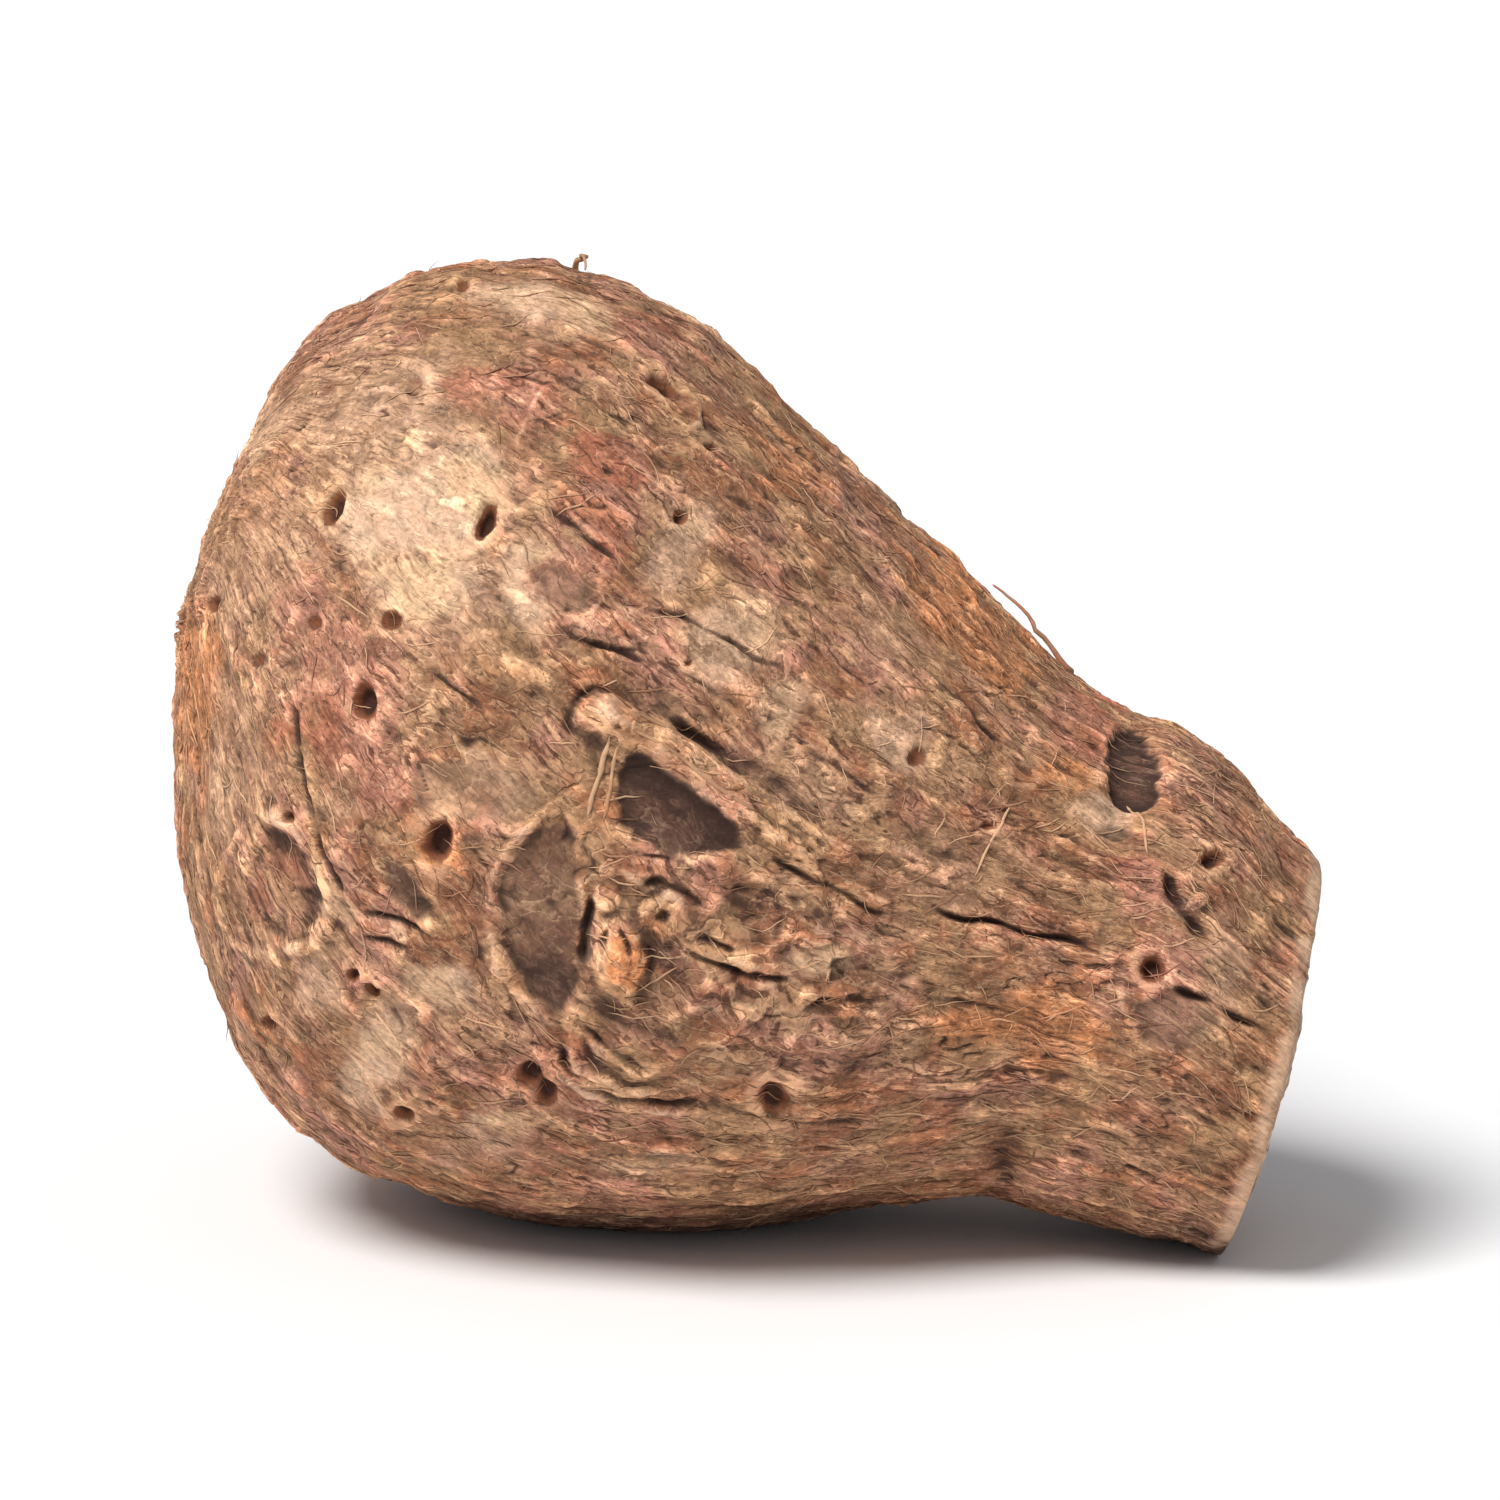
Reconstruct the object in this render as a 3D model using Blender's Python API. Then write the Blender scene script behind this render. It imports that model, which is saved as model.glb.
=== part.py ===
"""A taro corm of the kind that is sold as purple yam: one solid, grown as one piece.

It is pear-shaped and lies on its belly and on the lower lip of its neck. The crown is the blunt fat end at -X.
The neck, at +X, ends in the flat cut that parted the corm from its mother plant. The skin carries worn growth
rings, round scars where roots came off, bud scars, lengthwise wrinkles and open cracks, and a collar at the neck.

The body is a loft of oval sections. Its relief is raised from that loft by formulas, on a fine grid of points.
The grid is then thinned where the skin is smooth, and the underside is cut flat where the corm rests.
Sizes below are millimetres, and the mesh is made in metres. +Z is up, and -Y is the front.
"""

import itertools
import math
import random

import bpy
import numpy as np

METRES = 0.001

# Driving dimensions
LENGTH = 78.4  # from the crown to the cut, along X
HEIGHT = 67.4  # from the resting face to the top of the belly
DEPTH = 62.5  # the belly's width from front to back

# The sections of the loft, from the crown to the cut, square to the corm's own sloping axis. Each joins a point of
# the top line to one of the underside, as shares of LENGTH and HEIGHT, and then holds its width and how far it leans
# to the back, as shares of DEPTH.
SECTIONS = (
    # top line      underside      width   lean
    (0.019, 0.667, 0.019, 0.667, 0.000, 0.000),  # middle of the crown
    (0.100, 0.894, 0.005, 0.589, 0.357, 0.000),
    (0.166, 0.955, 0.003, 0.472, 0.554, 0.000),
    (0.239, 0.989, 0.011, 0.336, 0.742, 0.000),
    (0.332, 0.983, 0.056, 0.192, 0.909, 0.000),
    (0.427, 0.942, 0.131, 0.089, 0.988, 0.000),
    (0.515, 0.864, 0.236, 0.029, 1.000, 0.000),  # belly
    (0.598, 0.779, 0.354, 0.002, 0.952, -0.015),
    (0.680, 0.686, 0.484, 0.002, 0.852, -0.033),
    (0.757, 0.607, 0.605, 0.034, 0.707, -0.063),
    (0.830, 0.552, 0.708, 0.052, 0.604, -0.090),  # foot of the collar
    (0.907, 0.507, 0.807, 0.038, 0.556, -0.117),
    (1.000, 0.400, 0.914, 0.000, 0.467, -0.150),  # rim of the cut
)

# The collar: the share of the skin's length at which it starts, the groove at its foot, and how far it swells
COLLAR = 0.84
COLLAR_GROOVE = 0.42
COLLAR_SWELL = 0.5
COLLAR_WAVE = 1.5

# The grid of points that the relief is raised from, before it is thinned
POINTS_AROUND = 240
SKIN_ROWS = 190
CUT_ROWS = 18
KEPT_TRIANGLES = 11400

# Growth rings, worn away in places
RING_SPACING = 6.2
RING_HEIGHT = 0.5
RING_CREST = 0.78  # the share of a ring's spacing over which it swells, before it drops
RING_WAVE = 1.6  # how far a ring wanders along the corm
RING_WAVE_SPACING = 17.0
RING_WEAR_SPACING = 21.0
RING_FRONT_WEAR = 0.55  # how much more the front is worn than the rest

# Lengthwise wrinkles, which are strongest on the neck
WRINKLE_SPACING = 2.6
WRINKLE_LENGTH = 24.0
WRINKLE_HEIGHT = 0.36
WRINKLE_GIRTH = 24.0  # the corm's radius, as the wrinkles' spacing is measured round it

# Broad unevenness of the whole body
LUMP_SPACING = 24.0
LUMP_HEIGHT = 0.9
SMALL_LUMPS = 0.42  # the size of the smaller lumps, as a share of the broad ones

# The cut through the neck: how far its middle stands out, and the lip of skin round it
CUT_BULGE = 1.3
CUT_LIP = 0.45
CUT_ROUGHNESS = ((4.5, 0.35), (2.0, 0.25))  # spacing and height of its coarse and fine unevenness

# What is measured on the front is given as an eye sees it: across to the right, and up from where the belly rests.
# The eye is VIEW_TILT above the horizon and VIEW_DISTANCE away, and sees the middle of the body at its true size.
VIEW_TILT = math.radians(12.0)
VIEW_DISTANCE = 673.0
TO_EYE = np.array((0.0, -math.cos(VIEW_TILT), math.sin(VIEW_TILT)))
EDGE_ON = 0.05  # skin that faces the eye less than this isn't marked from the front
HIDDEN = 0.12  # skin that faces the eye less than this gets the scattered marks
FAR_OFF = 1000.0  # a distance that no mark reaches
MARK_REACH = 12.0  # how far from its middle a mark can reach

# Root scars on the front: across, up, radius
FRONT_SCARS = (
    (-28.9, 49.4, 1.3),
    (-18.1, 48.4, 1.4),
    (-23.1, 57.3, 1.5),
    (-24.5, 41.4, 1.0),
    (-26.2, 35.7, 1.6),
    (-20.9, 26.2, 1.6),
    (-2.9, 52.2, 1.1),
    (-4.6, 48.5, 1.1),
    (-5.3, 56.9, 1.4),
    (-33.3, 38.0, 0.9),
    (-36.5, 42.2, 1.0),
    (-26.4, 16.2, 1.3),
    (-23.9, 14.1, 1.2),
    (-14.6, 9.3, 1.7),
    (-23.7, 6.9, 1.2),
    (-32.5, 13.6, 1.0),
    (2.0, 8.0, 1.6),
    (17.0, 26.8, 1.2),
    (11.2, 30.6, 1.2),
    (32.5, 24.5, 1.4),
    (28.4, 17.1, 1.6),
    (35.4, 6.8, 1.0),
    (27.3, 1.2, 1.0),
)
SCAR_DEPTH = 0.9
SCAR_RIM = 0.3
SCARS_ELSEWHERE = 70
SCAR_CLEARANCE = 6.5

# Bud scars and torn places on the front: across, up, half width, half height, lean in degrees, sunk depth, rim height
FRONT_PATCHES = (
    (-31.7, 23.6, 3.6, 5.6, 12, 0.35, 0.9),  # shell-shaped bud scar by the crown
    (-13.8, 20.2, 3.2, 6.3, -10, 0.75, 0.5),  # long dark bud scar
    (-5.5, 28.4, 3.4, 3.6, -35, 0.9, 0.4),  # torn hollow beside it
    (-23.3, 23.0, 1.7, 2.8, 15, 0.5, 0.1),
    (27.0, 31.6, 2.0, 3.6, 0, 1.0, 0.3),  # torn hollow under the collar's top
    (29.5, 13.2, 2.2, 1.8, 30, 0.6, 0.1),
)

# What stands proud of the front: across, up, half width, half height, lean in degrees, height
FRONT_KNOBS = (
    (-8.7, 18.8, 2.6, 3.6, 5, 0.9),  # small side bud
    (-10.3, 34.6, 2.2, 1.7, -30, 1.1),  # end of a bundle of fibres
    (-6.0, 31.6, 5.5, 1.3, -36, 0.7),  # the bundle, running on towards the neck
    (0.6, 8.0, 3.2, 2.6, 0, 0.5),
)

# Eyes, ringed by folds, which the wrinkles bend round: across, up, half width, half height, number of folds
FRONT_EYES = (
    (0.5, 20.5, 5.2, 3.6, 2),
    (8.2, 11.5, 5.6, 3.8, 2),
    (-9.5, 11.5, 6.0, 4.2, 2),
)
EYE_FOLD = 0.28
EYE_FLOW = 0.8  # how far beyond an eye the wrinkles bend, as a share of its size

# Cracks on the front: half width, depth, then the points that each runs through, across and up
FRONT_CRACKS = (
    (0.50, 0.8, ((0.9, 25.3), (5.9, 23.1), (10.3, 21.1))),
    (0.55, 1.1, ((12.5, 21.8), (15.1, 20.9), (23.8, 18.7))),
    (0.60, 1.1, ((-5.6, 34.7), (-3.2, 33.4), (-0.8, 31.6))),
    (0.50, 1.0, ((30.6, 15.5), (34.0, 13.6), (38.1, 11.3))),
    (0.55, 1.1, ((29.8, 22.7), (31.5, 19.7))),
    (0.45, 0.7, ((11.7, 38.2), (14.2, 36.4))),
    (0.55, 0.9, ((-4.6, 18.3), (-0.8, 16.5), (3.6, 16.8))),
    (0.50, 0.8, ((-27.7, 22.1), (-24.5, 20.5), (-20.5, 18.9))),
    (0.50, 0.7, ((-31.6, 36.9), (-30.2, 31.0), (-28.7, 25.0))),
    (0.50, 0.6, ((-13.8, 48.9), (-8.5, 45.4))),
    (0.50, 0.6, ((-12.7, 40.6), (-9.0, 38.8), (-5.8, 38.2))),
    (0.50, 0.6, ((-22.3, 38.5), (-20.2, 36.1), (-17.8, 34.2))),
    (0.55, 0.7, ((-12.7, 12.3), (-7.1, 8.7), (-3.2, 7.9))),
)
CRACK_WANDER = 0.7
CRACK_WANDER_SPACING = 3.2
CRACK_LIP = 0.3  # height of a crack's lips, as a share of its depth

# Cracks that the front view doesn't show, which are scattered and run along the corm
CRACKS_ELSEWHERE = 13
CRACK_LENGTHS = (5.0, 13.0)
CRACK_HALF_WIDTH = 0.5
CRACK_DEPTH = 0.65
CRACK_SLANT = 0.35  # how far a crack can lean off the corm's length

# Bud scars on the sides that the front view doesn't show: share of the skin's length, turn in degrees from the top
# towards the back, half length, half width
HIDDEN_BUDS = (
    (0.30, 62, 5.0, 3.6),
    (0.46, 128, 5.6, 4.0),
    (0.62, 78, 4.6, 3.2),
    (0.22, 158, 4.4, 3.4),
    (0.66, 24, 4.2, 3.0),
    (0.78, 142, 3.6, 2.6),
)
BUD_SINK = 0.5
BUD_RIM = 0.6
BUD_TIP = 0.9  # height of the small tip in a bud scar

# The resting face: how much of the belly's lowest skin is cut away, and how far round it the skin is smooth
REST_CUT = 0.55
REST_SMOOTH = 3.5

# What the relief adds moves the middle of the corm's box by this much, and the origin belongs under that middle
BOX_SHIFT_X = 0.0
BOX_SHIFT_Y = -0.36

SKIN_COLOUR = (0.352, 0.187, 0.115, 1.0)
SKIN_ROUGHNESS = 0.85

SEED = 11  # of the noise and of the scattered scars


def smoothstep(low, high, value):
    """0 below low, 1 above high, and a smooth rise between them."""
    share = np.clip((value - low) / (high - low), 0.0, 1.0)
    return share * share * (3.0 - 2.0 * share)


def section_at(place):
    """The loft's section at a place counted in sections: a smooth curve through the rows of SECTIONS."""
    rows = np.array(SECTIONS)
    before_crown = rows[1][[2, 3, 0, 1, 4, 5]] * (1, 1, 1, 1, -1, 1)  # the crown's other side, so that it is round
    past_cut = 2.0 * rows[-1] - rows[-2]
    rows = np.vstack([before_crown, rows, past_cut])
    first = np.clip(np.floor(place).astype(int), 0, len(SECTIONS) - 2)
    share = (place - first)[..., None]
    a, b, c, d = (rows[first + step] for step in range(4))
    return 0.5 * (
        2.0 * b
        + (c - a) * share
        + (2.0 * a - 5.0 * b + 4.0 * c - d) * share**2
        + (3.0 * b - a - 3.0 * c + d) * share**3
    )


def loft_point(place, turn):
    """Points of the smooth loft. turn is 0 on the top line and a quarter turn at the back."""
    top_x, top_z, low_x, low_z, width, lean = np.moveaxis(section_at(place), -1, 0)
    up = np.cos(turn)
    x = LENGTH * ((top_x + low_x) + (top_x - low_x) * up) / 2.0 - LENGTH / 2.0
    z = HEIGHT * ((top_z + low_z) + (top_z - low_z) * up) / 2.0
    y = DEPTH * (lean + width / 2.0 * np.sin(turn))
    return np.stack([x, y, z], axis=-1)


def skin_ruler():
    """Places from the crown to the cut, and how far along the skin each lies, in millimetres."""
    place = np.linspace(0.0, len(SECTIONS) - 1.0, 1500)
    turn = np.linspace(0.0, 2.0 * math.pi, 12, endpoint=False)
    points = loft_point(place[:, None], turn[None, :])
    steps = np.linalg.norm(np.diff(points, axis=0), axis=2).mean(axis=1)
    return place, np.concatenate([[0.0], np.cumsum(steps)])


PLACES, DISTANCES = skin_ruler()


def spot(share, turn):
    """A point of the smooth loft at a share of the skin's length, its normal, and the way along the skin there."""
    place = np.interp(share * DISTANCES[-1], DISTANCES, PLACES)
    point = loft_point(np.array(place), np.array(turn))
    along = loft_point(np.array(place + 0.01), np.array(turn)) - point
    around = loft_point(np.array(place), np.array(turn + 0.01)) - point
    normal = np.cross(along, around)
    return point, normal / np.linalg.norm(normal), along / np.linalg.norm(along)


def outward(points):
    """Unit normals of a grid whose rows run from the crown to the neck and whose columns go round."""
    along = np.gradient(points, axis=0)
    around = np.roll(points, -1, axis=1) - np.roll(points, 1, axis=1)
    normal = np.cross(along, around)
    normal[0] = (-1.0, 0.0, 0.0)
    return normal / np.linalg.norm(normal, axis=2, keepdims=True)


def noise_slopes():
    """A fixed random direction and a fixed shuffle, which give each corner of the noise's cells its slope."""
    draw = np.random.RandomState(SEED)
    slopes = draw.normal(size=(256, 3))
    return slopes / np.linalg.norm(slopes, axis=1, keepdims=True), draw.permutation(256)


SLOPES, SHUFFLE = noise_slopes()


def noise_at(points, spacing, shift=0.0):
    """Smooth noise, from about -1 to 1, with hills about one spacing apart: a blend of slopes at cell corners."""
    scaled = points / np.array(spacing) + shift
    cell = np.floor(scaled).astype(int)
    inside = scaled - cell
    eased = inside**3 * (inside * (inside * 6.0 - 15.0) + 10.0)
    total = np.zeros(points.shape[:-1])
    for corner in itertools.product((0, 1), repeat=3):
        x, y, z = np.moveaxis((cell + corner) & 255, -1, 0)
        slope = SLOPES[SHUFFLE[(SHUFFLE[(SHUFFLE[x] + y) & 255] + z) & 255]]
        weight = np.prod(np.where(corner, eased, 1.0 - eased), axis=-1)
        total += weight * ((inside - corner) * slope).sum(axis=-1)
    return 1.6 * total


class Skin:
    """The smooth loft as a grid of points, with what the relief needs to know of each point."""

    def __init__(self):
        self.distance = np.linspace(0.0, DISTANCES[-1], SKIN_ROWS)
        place = np.interp(self.distance, DISTANCES, PLACES)
        turn = np.linspace(0.0, 2.0 * math.pi, POINTS_AROUND, endpoint=False)
        self.turn = turn
        self.points = loft_point(place[:, None], turn[None, :])
        self.normals = outward(self.points)
        x, y, z = np.moveaxis(self.points, -1, 0)
        nearer = -y * math.cos(VIEW_TILT) + (z - HEIGHT / 2.0) * math.sin(VIEW_TILT)
        scale = VIEW_DISTANCE / (VIEW_DISTANCE - nearer)
        self.across = x * scale
        above_middle = (z - HEIGHT / 2.0) * math.cos(VIEW_TILT) + y * math.sin(VIEW_TILT)
        self.up = HEIGHT / 2.0 * math.cos(VIEW_TILT) + above_middle * scale
        self.facing = self.normals @ TO_EYE
        self.share = np.broadcast_to((self.distance / DISTANCES[-1])[:, None], x.shape)

    def seen_spot(self, across, up):
        """The front point that an eye sees at this place, its normal, and the way along the skin there."""
        miss = np.hypot(self.across - across, self.up - up) + FAR_OFF * (self.facing < EDGE_ON)
        row, column = np.unravel_index(miss.argmin(), miss.shape)
        return spot(self.share[row, column], self.turn[column])

    def from_spot(self, centre):
        """How far each point lies from a spot, along the corm and round it, with what is far off left out."""
        point, normal, along = centre
        offset = self.points - point
        far = FAR_OFF * (np.linalg.norm(offset, axis=2) > MARK_REACH)
        return offset @ along + far, offset @ np.cross(normal, along) + far

    def seen_place(self, across, up, half_width, half_height, lean_degrees):
        """The place of each point in an oval on the front: 0, 0 in its middle, and 1 from there on its edge."""
        lean = math.radians(lean_degrees)
        dx, dy = self.across - across, self.up - up
        wide = (dx * math.cos(lean) + dy * math.sin(lean)) / half_width
        high = (dy * math.cos(lean) - dx * math.sin(lean)) / half_height
        hidden = FAR_OFF * (self.facing < EDGE_ON)
        return wide + hidden, high + hidden


def lumps(skin):
    broad = noise_at(skin.points, LUMP_SPACING, 3.1)
    small = noise_at(skin.points, LUMP_SPACING * SMALL_LUMPS, 7.7)
    return LUMP_HEIGHT * (broad + SMALL_LUMPS * small)


def growth_rings(skin):
    """Old leaf bases: each ring swells slowly towards the neck and then drops, as one sheath over the next."""
    wave = RING_WAVE * noise_at(skin.points, RING_WAVE_SPACING, 1.3)
    phase = ((skin.distance[:, None] + wave) / RING_SPACING) % 1.0
    step = smoothstep(0.0, RING_CREST, phase) - smoothstep(RING_CREST, 1.0, phase)
    left_over = noise_at(skin.points, RING_WEAR_SPACING, 5.9) - RING_FRONT_WEAR * np.clip(skin.facing, 0, 1)
    worn = smoothstep(-0.60, 0.05, left_over)
    ends = smoothstep(0.04, 0.12, skin.share) * (1.0 - smoothstep(0.60, 0.78, skin.share))
    return RING_HEIGHT * (step - 0.4) * worn * ends


def eye_spots(skin):
    """The middle of each eye and bud, with its half length and half width."""
    seen = [(skin.seen_spot(eye[0], eye[1]), eye[2], eye[3]) for eye in FRONT_EYES]
    hidden = [(spot(bud[0], math.radians(bud[1])), bud[2], bud[3]) for bud in HIDDEN_BUDS]
    return seen + hidden


def flowing_turn(skin):
    """The turn of each point as the wrinkles see it: they part before each eye and bud and close again after it."""
    steps = np.roll(skin.points, -1, axis=1) - np.roll(skin.points, 1, axis=1)
    per_turn = np.linalg.norm(steps, axis=2) / (4.0 * math.pi / POINTS_AROUND)
    turn = np.broadcast_to(skin.turn, skin.share.shape).copy()
    for centre, half_length, half_width in eye_spots(skin):
        along, around = skin.from_spot(centre)
        reach = np.hypot(along / half_length, around / half_width) / (1.0 + EYE_FLOW)
        near = np.abs(around) < MARK_REACH
        turn[near] -= (around / np.maximum(per_turn, 1.0) * np.exp(-(reach**2)))[near]
    return turn


def wrinkles(skin):
    """Folds that run along the corm and gather as the neck narrows."""
    turn = flowing_turn(skin)
    along = np.broadcast_to(skin.distance[:, None] / WRINKLE_LENGTH, turn.shape)
    girth = WRINKLE_GIRTH / WRINKLE_SPACING
    wrapped = np.stack([along, girth * np.cos(turn), girth * np.sin(turn)], axis=-1)
    folds = 1.0 - 2.0 * np.abs(noise_at(wrapped, 1.0, 2.2))
    strength = smoothstep(0.05, 0.25, skin.share) * (0.25 + 0.75 * smoothstep(0.50, 0.80, skin.share))
    return WRINKLE_HEIGHT * (folds - 0.6) * strength


def scar_shape(reach, depth, rim):
    """A root scar's section: a pit with a raised rim, and a low nub in the pit. reach is 1 at the pit's edge."""
    pit = -depth * (1.0 - smoothstep(0.45, 1.1, reach))
    nub = 0.35 * depth * (1.0 - smoothstep(0.0, 0.4, reach))
    return pit + nub + rim * np.exp(-(((reach - 1.35) / 0.35) ** 2))


def scar_centres(skin):
    """Spots and radii of all root scars: those measured on the front, then seeded ones on the other sides."""
    found = [(skin.seen_spot(across, up), radius) for across, up, radius in FRONT_SCARS]
    buds = [centre for centre, _, _ in eye_spots(skin)]
    draw = random.Random(SEED)
    wanted = len(found) + SCARS_ELSEWHERE
    while len(found) < wanted:
        centre = spot(draw.uniform(0.05, 0.96), draw.uniform(0.0, 2.0 * math.pi))
        radius = draw.uniform(0.9, 1.5)
        point, normal, _ = centre
        nearest = min(np.linalg.norm(point - other[0]) for other in buds + [mark for mark, _ in found])
        if normal @ TO_EYE < HIDDEN and nearest > SCAR_CLEARANCE and point[2] > REST_SMOOTH:
            found.append((centre, radius))
    return found


def root_scars(skin):
    height = np.zeros(skin.share.shape)
    for centre, radius in scar_centres(skin):
        along, around = skin.from_spot(centre)
        height += scar_shape(np.hypot(along, around) / radius, SCAR_DEPTH, SCAR_RIM)
    return height


def patches(skin):
    """Sunk bud scars and torn places on the front, each with a lip on the side of the crown."""
    height = np.zeros(skin.share.shape)
    for across, up, half_width, half_height, lean, sunk, rim in FRONT_PATCHES:
        wide, high = skin.seen_place(across, up, half_width, half_height, lean)
        reach = np.hypot(wide, high)
        height -= sunk * (1.0 - smoothstep(0.75, 1.05, reach))
        height += rim * np.exp(-(((reach - 1.12) / 0.16) ** 2)) * (0.65 - 0.35 * np.clip(wide, -1, 1))
    return height


def knobs(skin):
    height = np.zeros(skin.share.shape)
    for across, up, half_width, half_height, lean, tall in FRONT_KNOBS:
        wide, high = skin.seen_place(across, up, half_width, half_height, lean)
        height += tall * (1.0 - smoothstep(0.25, 1.0, np.hypot(wide, high)))
    return height


def eyes(skin):
    """Folds round each eye, which are lost again on the side of the neck."""
    height = np.zeros(skin.share.shape)
    for across, up, half_width, half_height, folds in FRONT_EYES:
        wide, high = skin.seen_place(across, up, half_width, half_height, 0.0)
        reach = np.hypot(wide, high)
        fade = (1.0 - smoothstep(0.6, 1.2, reach)) * (0.65 - 0.35 * np.clip(wide, -1, 1))
        height += EYE_FOLD * fade * np.cos(2.0 * math.pi * folds * reach)
    return height


def hidden_buds(skin):
    """Flat side buds on the back and the top: a sunk oval with a raised rim and a small tip in it."""
    height = np.zeros(skin.share.shape)
    for share, turn_degrees, half_length, half_width in HIDDEN_BUDS:
        along, around = skin.from_spot(spot(share, math.radians(turn_degrees)))
        reach = np.hypot(along / half_length, around / half_width)
        tip = np.hypot((along + 0.25 * half_length) / half_length, around / half_width)
        height -= BUD_SINK * (1.0 - smoothstep(0.6, 1.0, reach))
        height += BUD_RIM * np.exp(-(((reach - 1.1) / 0.2) ** 2))
        height += BUD_TIP * (1.0 - smoothstep(0.05, 0.6, tip))
    return height


def crack_shape(nearest, half_width, depth):
    """A crack's section: a slit with low lips beside it. nearest is the distance from its middle line."""
    lips = np.exp(-(((nearest - 2.2 * half_width) / half_width) ** 2))
    return CRACK_LIP * depth * lips - depth * np.exp(-((nearest / half_width) ** 2))


def cracks(skin):
    """The open cracks that are measured on the front."""
    height = np.zeros(skin.share.shape)
    seen_across = skin.across + CRACK_WANDER * noise_at(skin.points, CRACK_WANDER_SPACING, 9.1)
    seen_up = skin.up + CRACK_WANDER * noise_at(skin.points, CRACK_WANDER_SPACING, 2.6)
    for half_width, depth, route in FRONT_CRACKS:
        nearest = np.full(skin.share.shape, FAR_OFF)
        for (ax, ay), (bx, by) in zip(route, route[1:]):
            length_squared = (bx - ax) ** 2 + (by - ay) ** 2
            on_line = ((seen_across - ax) * (bx - ax) + (seen_up - ay) * (by - ay)) / length_squared
            on_line = np.clip(on_line, 0.0, 1.0)
            miss = np.hypot(seen_across - ax - on_line * (bx - ax), seen_up - ay - on_line * (by - ay))
            nearest = np.minimum(nearest, miss)
        nearest = nearest + FAR_OFF * (skin.facing < EDGE_ON)
        height += crack_shape(nearest, half_width, depth)
    return height


def hidden_cracks(skin):
    """Seeded cracks on the other sides, each along the corm and a little aslant."""
    height = np.zeros(skin.share.shape)
    draw = random.Random(SEED + 1)
    taken = [centre[0] for centre, _, _ in eye_spots(skin)]
    clear_of = len(taken) + CRACKS_ELSEWHERE
    while len(taken) < clear_of:
        centre = spot(draw.uniform(0.15, 0.92), draw.uniform(0.0, 2.0 * math.pi))
        half_length = draw.uniform(*CRACK_LENGTHS) / 2.0
        slant = draw.uniform(-CRACK_SLANT, CRACK_SLANT)
        nearest = min(np.linalg.norm(centre[0] - other) for other in taken)
        if centre[1] @ TO_EYE > HIDDEN or centre[0][2] < 2.0 * REST_SMOOTH or nearest < MARK_REACH:
            continue
        taken.append(centre[0])
        along, around = skin.from_spot(centre)
        wander = CRACK_WANDER * noise_at(skin.points, CRACK_WANDER_SPACING, 4.7)
        past_end = np.maximum(np.abs(along) - half_length, 0.0)
        nearest = np.hypot(around + slant * along + wander, past_end)
        height += crack_shape(nearest, CRACK_HALF_WIDTH, CRACK_DEPTH)
    return height


def collar(skin):
    """The collar at the neck: a broken groove at its foot, then a swelling that is lost again before the cut."""
    wave = COLLAR_WAVE * noise_at(skin.points, 9.0, 4.4)
    past_foot = skin.distance[:, None] + wave - DISTANCES[-1] * COLLAR
    broken = smoothstep(-0.35, 0.35, noise_at(skin.points, 8.0, 6.6))
    groove = -COLLAR_GROOVE * broken * np.exp(-((past_foot / 1.1) ** 2))
    swelling = COLLAR_SWELL * smoothstep(-0.5, 4.0, past_foot) * (1.0 - smoothstep(8.0, 15.0, past_foot))
    return groove + swelling


def raised(skin):
    """The skin with its relief, smooth where the corm rests."""
    height = (
        growth_rings(skin)
        + wrinkles(skin)
        + root_scars(skin)
        + patches(skin)
        + knobs(skin)
        + eyes(skin)
        + hidden_buds(skin)
        + cracks(skin)
        + hidden_cracks(skin)
        + collar(skin)
    )
    away_from_rest = smoothstep(0.3, REST_SMOOTH, skin.points[..., 2])
    off_crown = smoothstep(0.0, 0.03, skin.share)
    lip = CUT_LIP * smoothstep(0.975, 0.995, skin.share)
    height = height * away_from_rest * off_crown * (1.0 - smoothstep(0.97, 1.0, skin.share)) + lip
    return skin.points + skin.normals * (height + lumps(skin) * away_from_rest)[..., None]


def cut_face(rim):
    """Rows from just inside the rim of the cut to near its middle, and the middle itself."""
    middle = rim.mean(axis=0)
    normal = np.cross(rim[0] - middle, rim[len(rim) // 4] - middle)
    normal *= np.sign(normal[0]) / np.linalg.norm(normal)
    rows = []
    for row in range(1, CUT_ROWS):
        reach = 1.0 - row / CUT_ROWS
        points = middle + (rim - middle) * reach
        inset = smoothstep(0.0, 0.08, 1.0 - reach)
        uneven = sum(height * noise_at(points, spacing, 8.3) for spacing, height in CUT_ROUGHNESS)
        bulge = CUT_BULGE * (1.0 - reach**2) - 0.5 * CUT_LIP * inset + uneven * inset
        rows.append(points + normal * bulge[:, None])
    return rows, rows[-1].mean(axis=0)


def corm_mesh():
    """The closed fine mesh, in metres, as it is before thinning."""
    skin = Skin()
    points = raised(skin) - (BOX_SHIFT_X, BOX_SHIFT_Y, REST_CUT)
    cut_rows, cut_middle = cut_face(points[-1])
    crown = points[0].mean(axis=0)
    rows = list(points[1:]) + cut_rows
    around = POINTS_AROUND
    vertices = np.vstack([crown[None], *rows, cut_middle[None]]) * METRES
    last = len(vertices) - 1
    faces = []
    for column in range(around):
        following = (column + 1) % around
        faces.append((0, 1 + column, 1 + following))
        for row in range(len(rows) - 1):
            start = 1 + row * around
            faces.append(
                (start + column, start + around + column, start + around + following, start + following)
            )
        start = 1 + (len(rows) - 1) * around
        faces.append((start + column, last, start + following))
    mesh = bpy.data.meshes.new("corm")
    mesh.from_pydata(vertices.tolist(), [], faces)
    mesh.shade_smooth()
    return mesh


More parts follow.
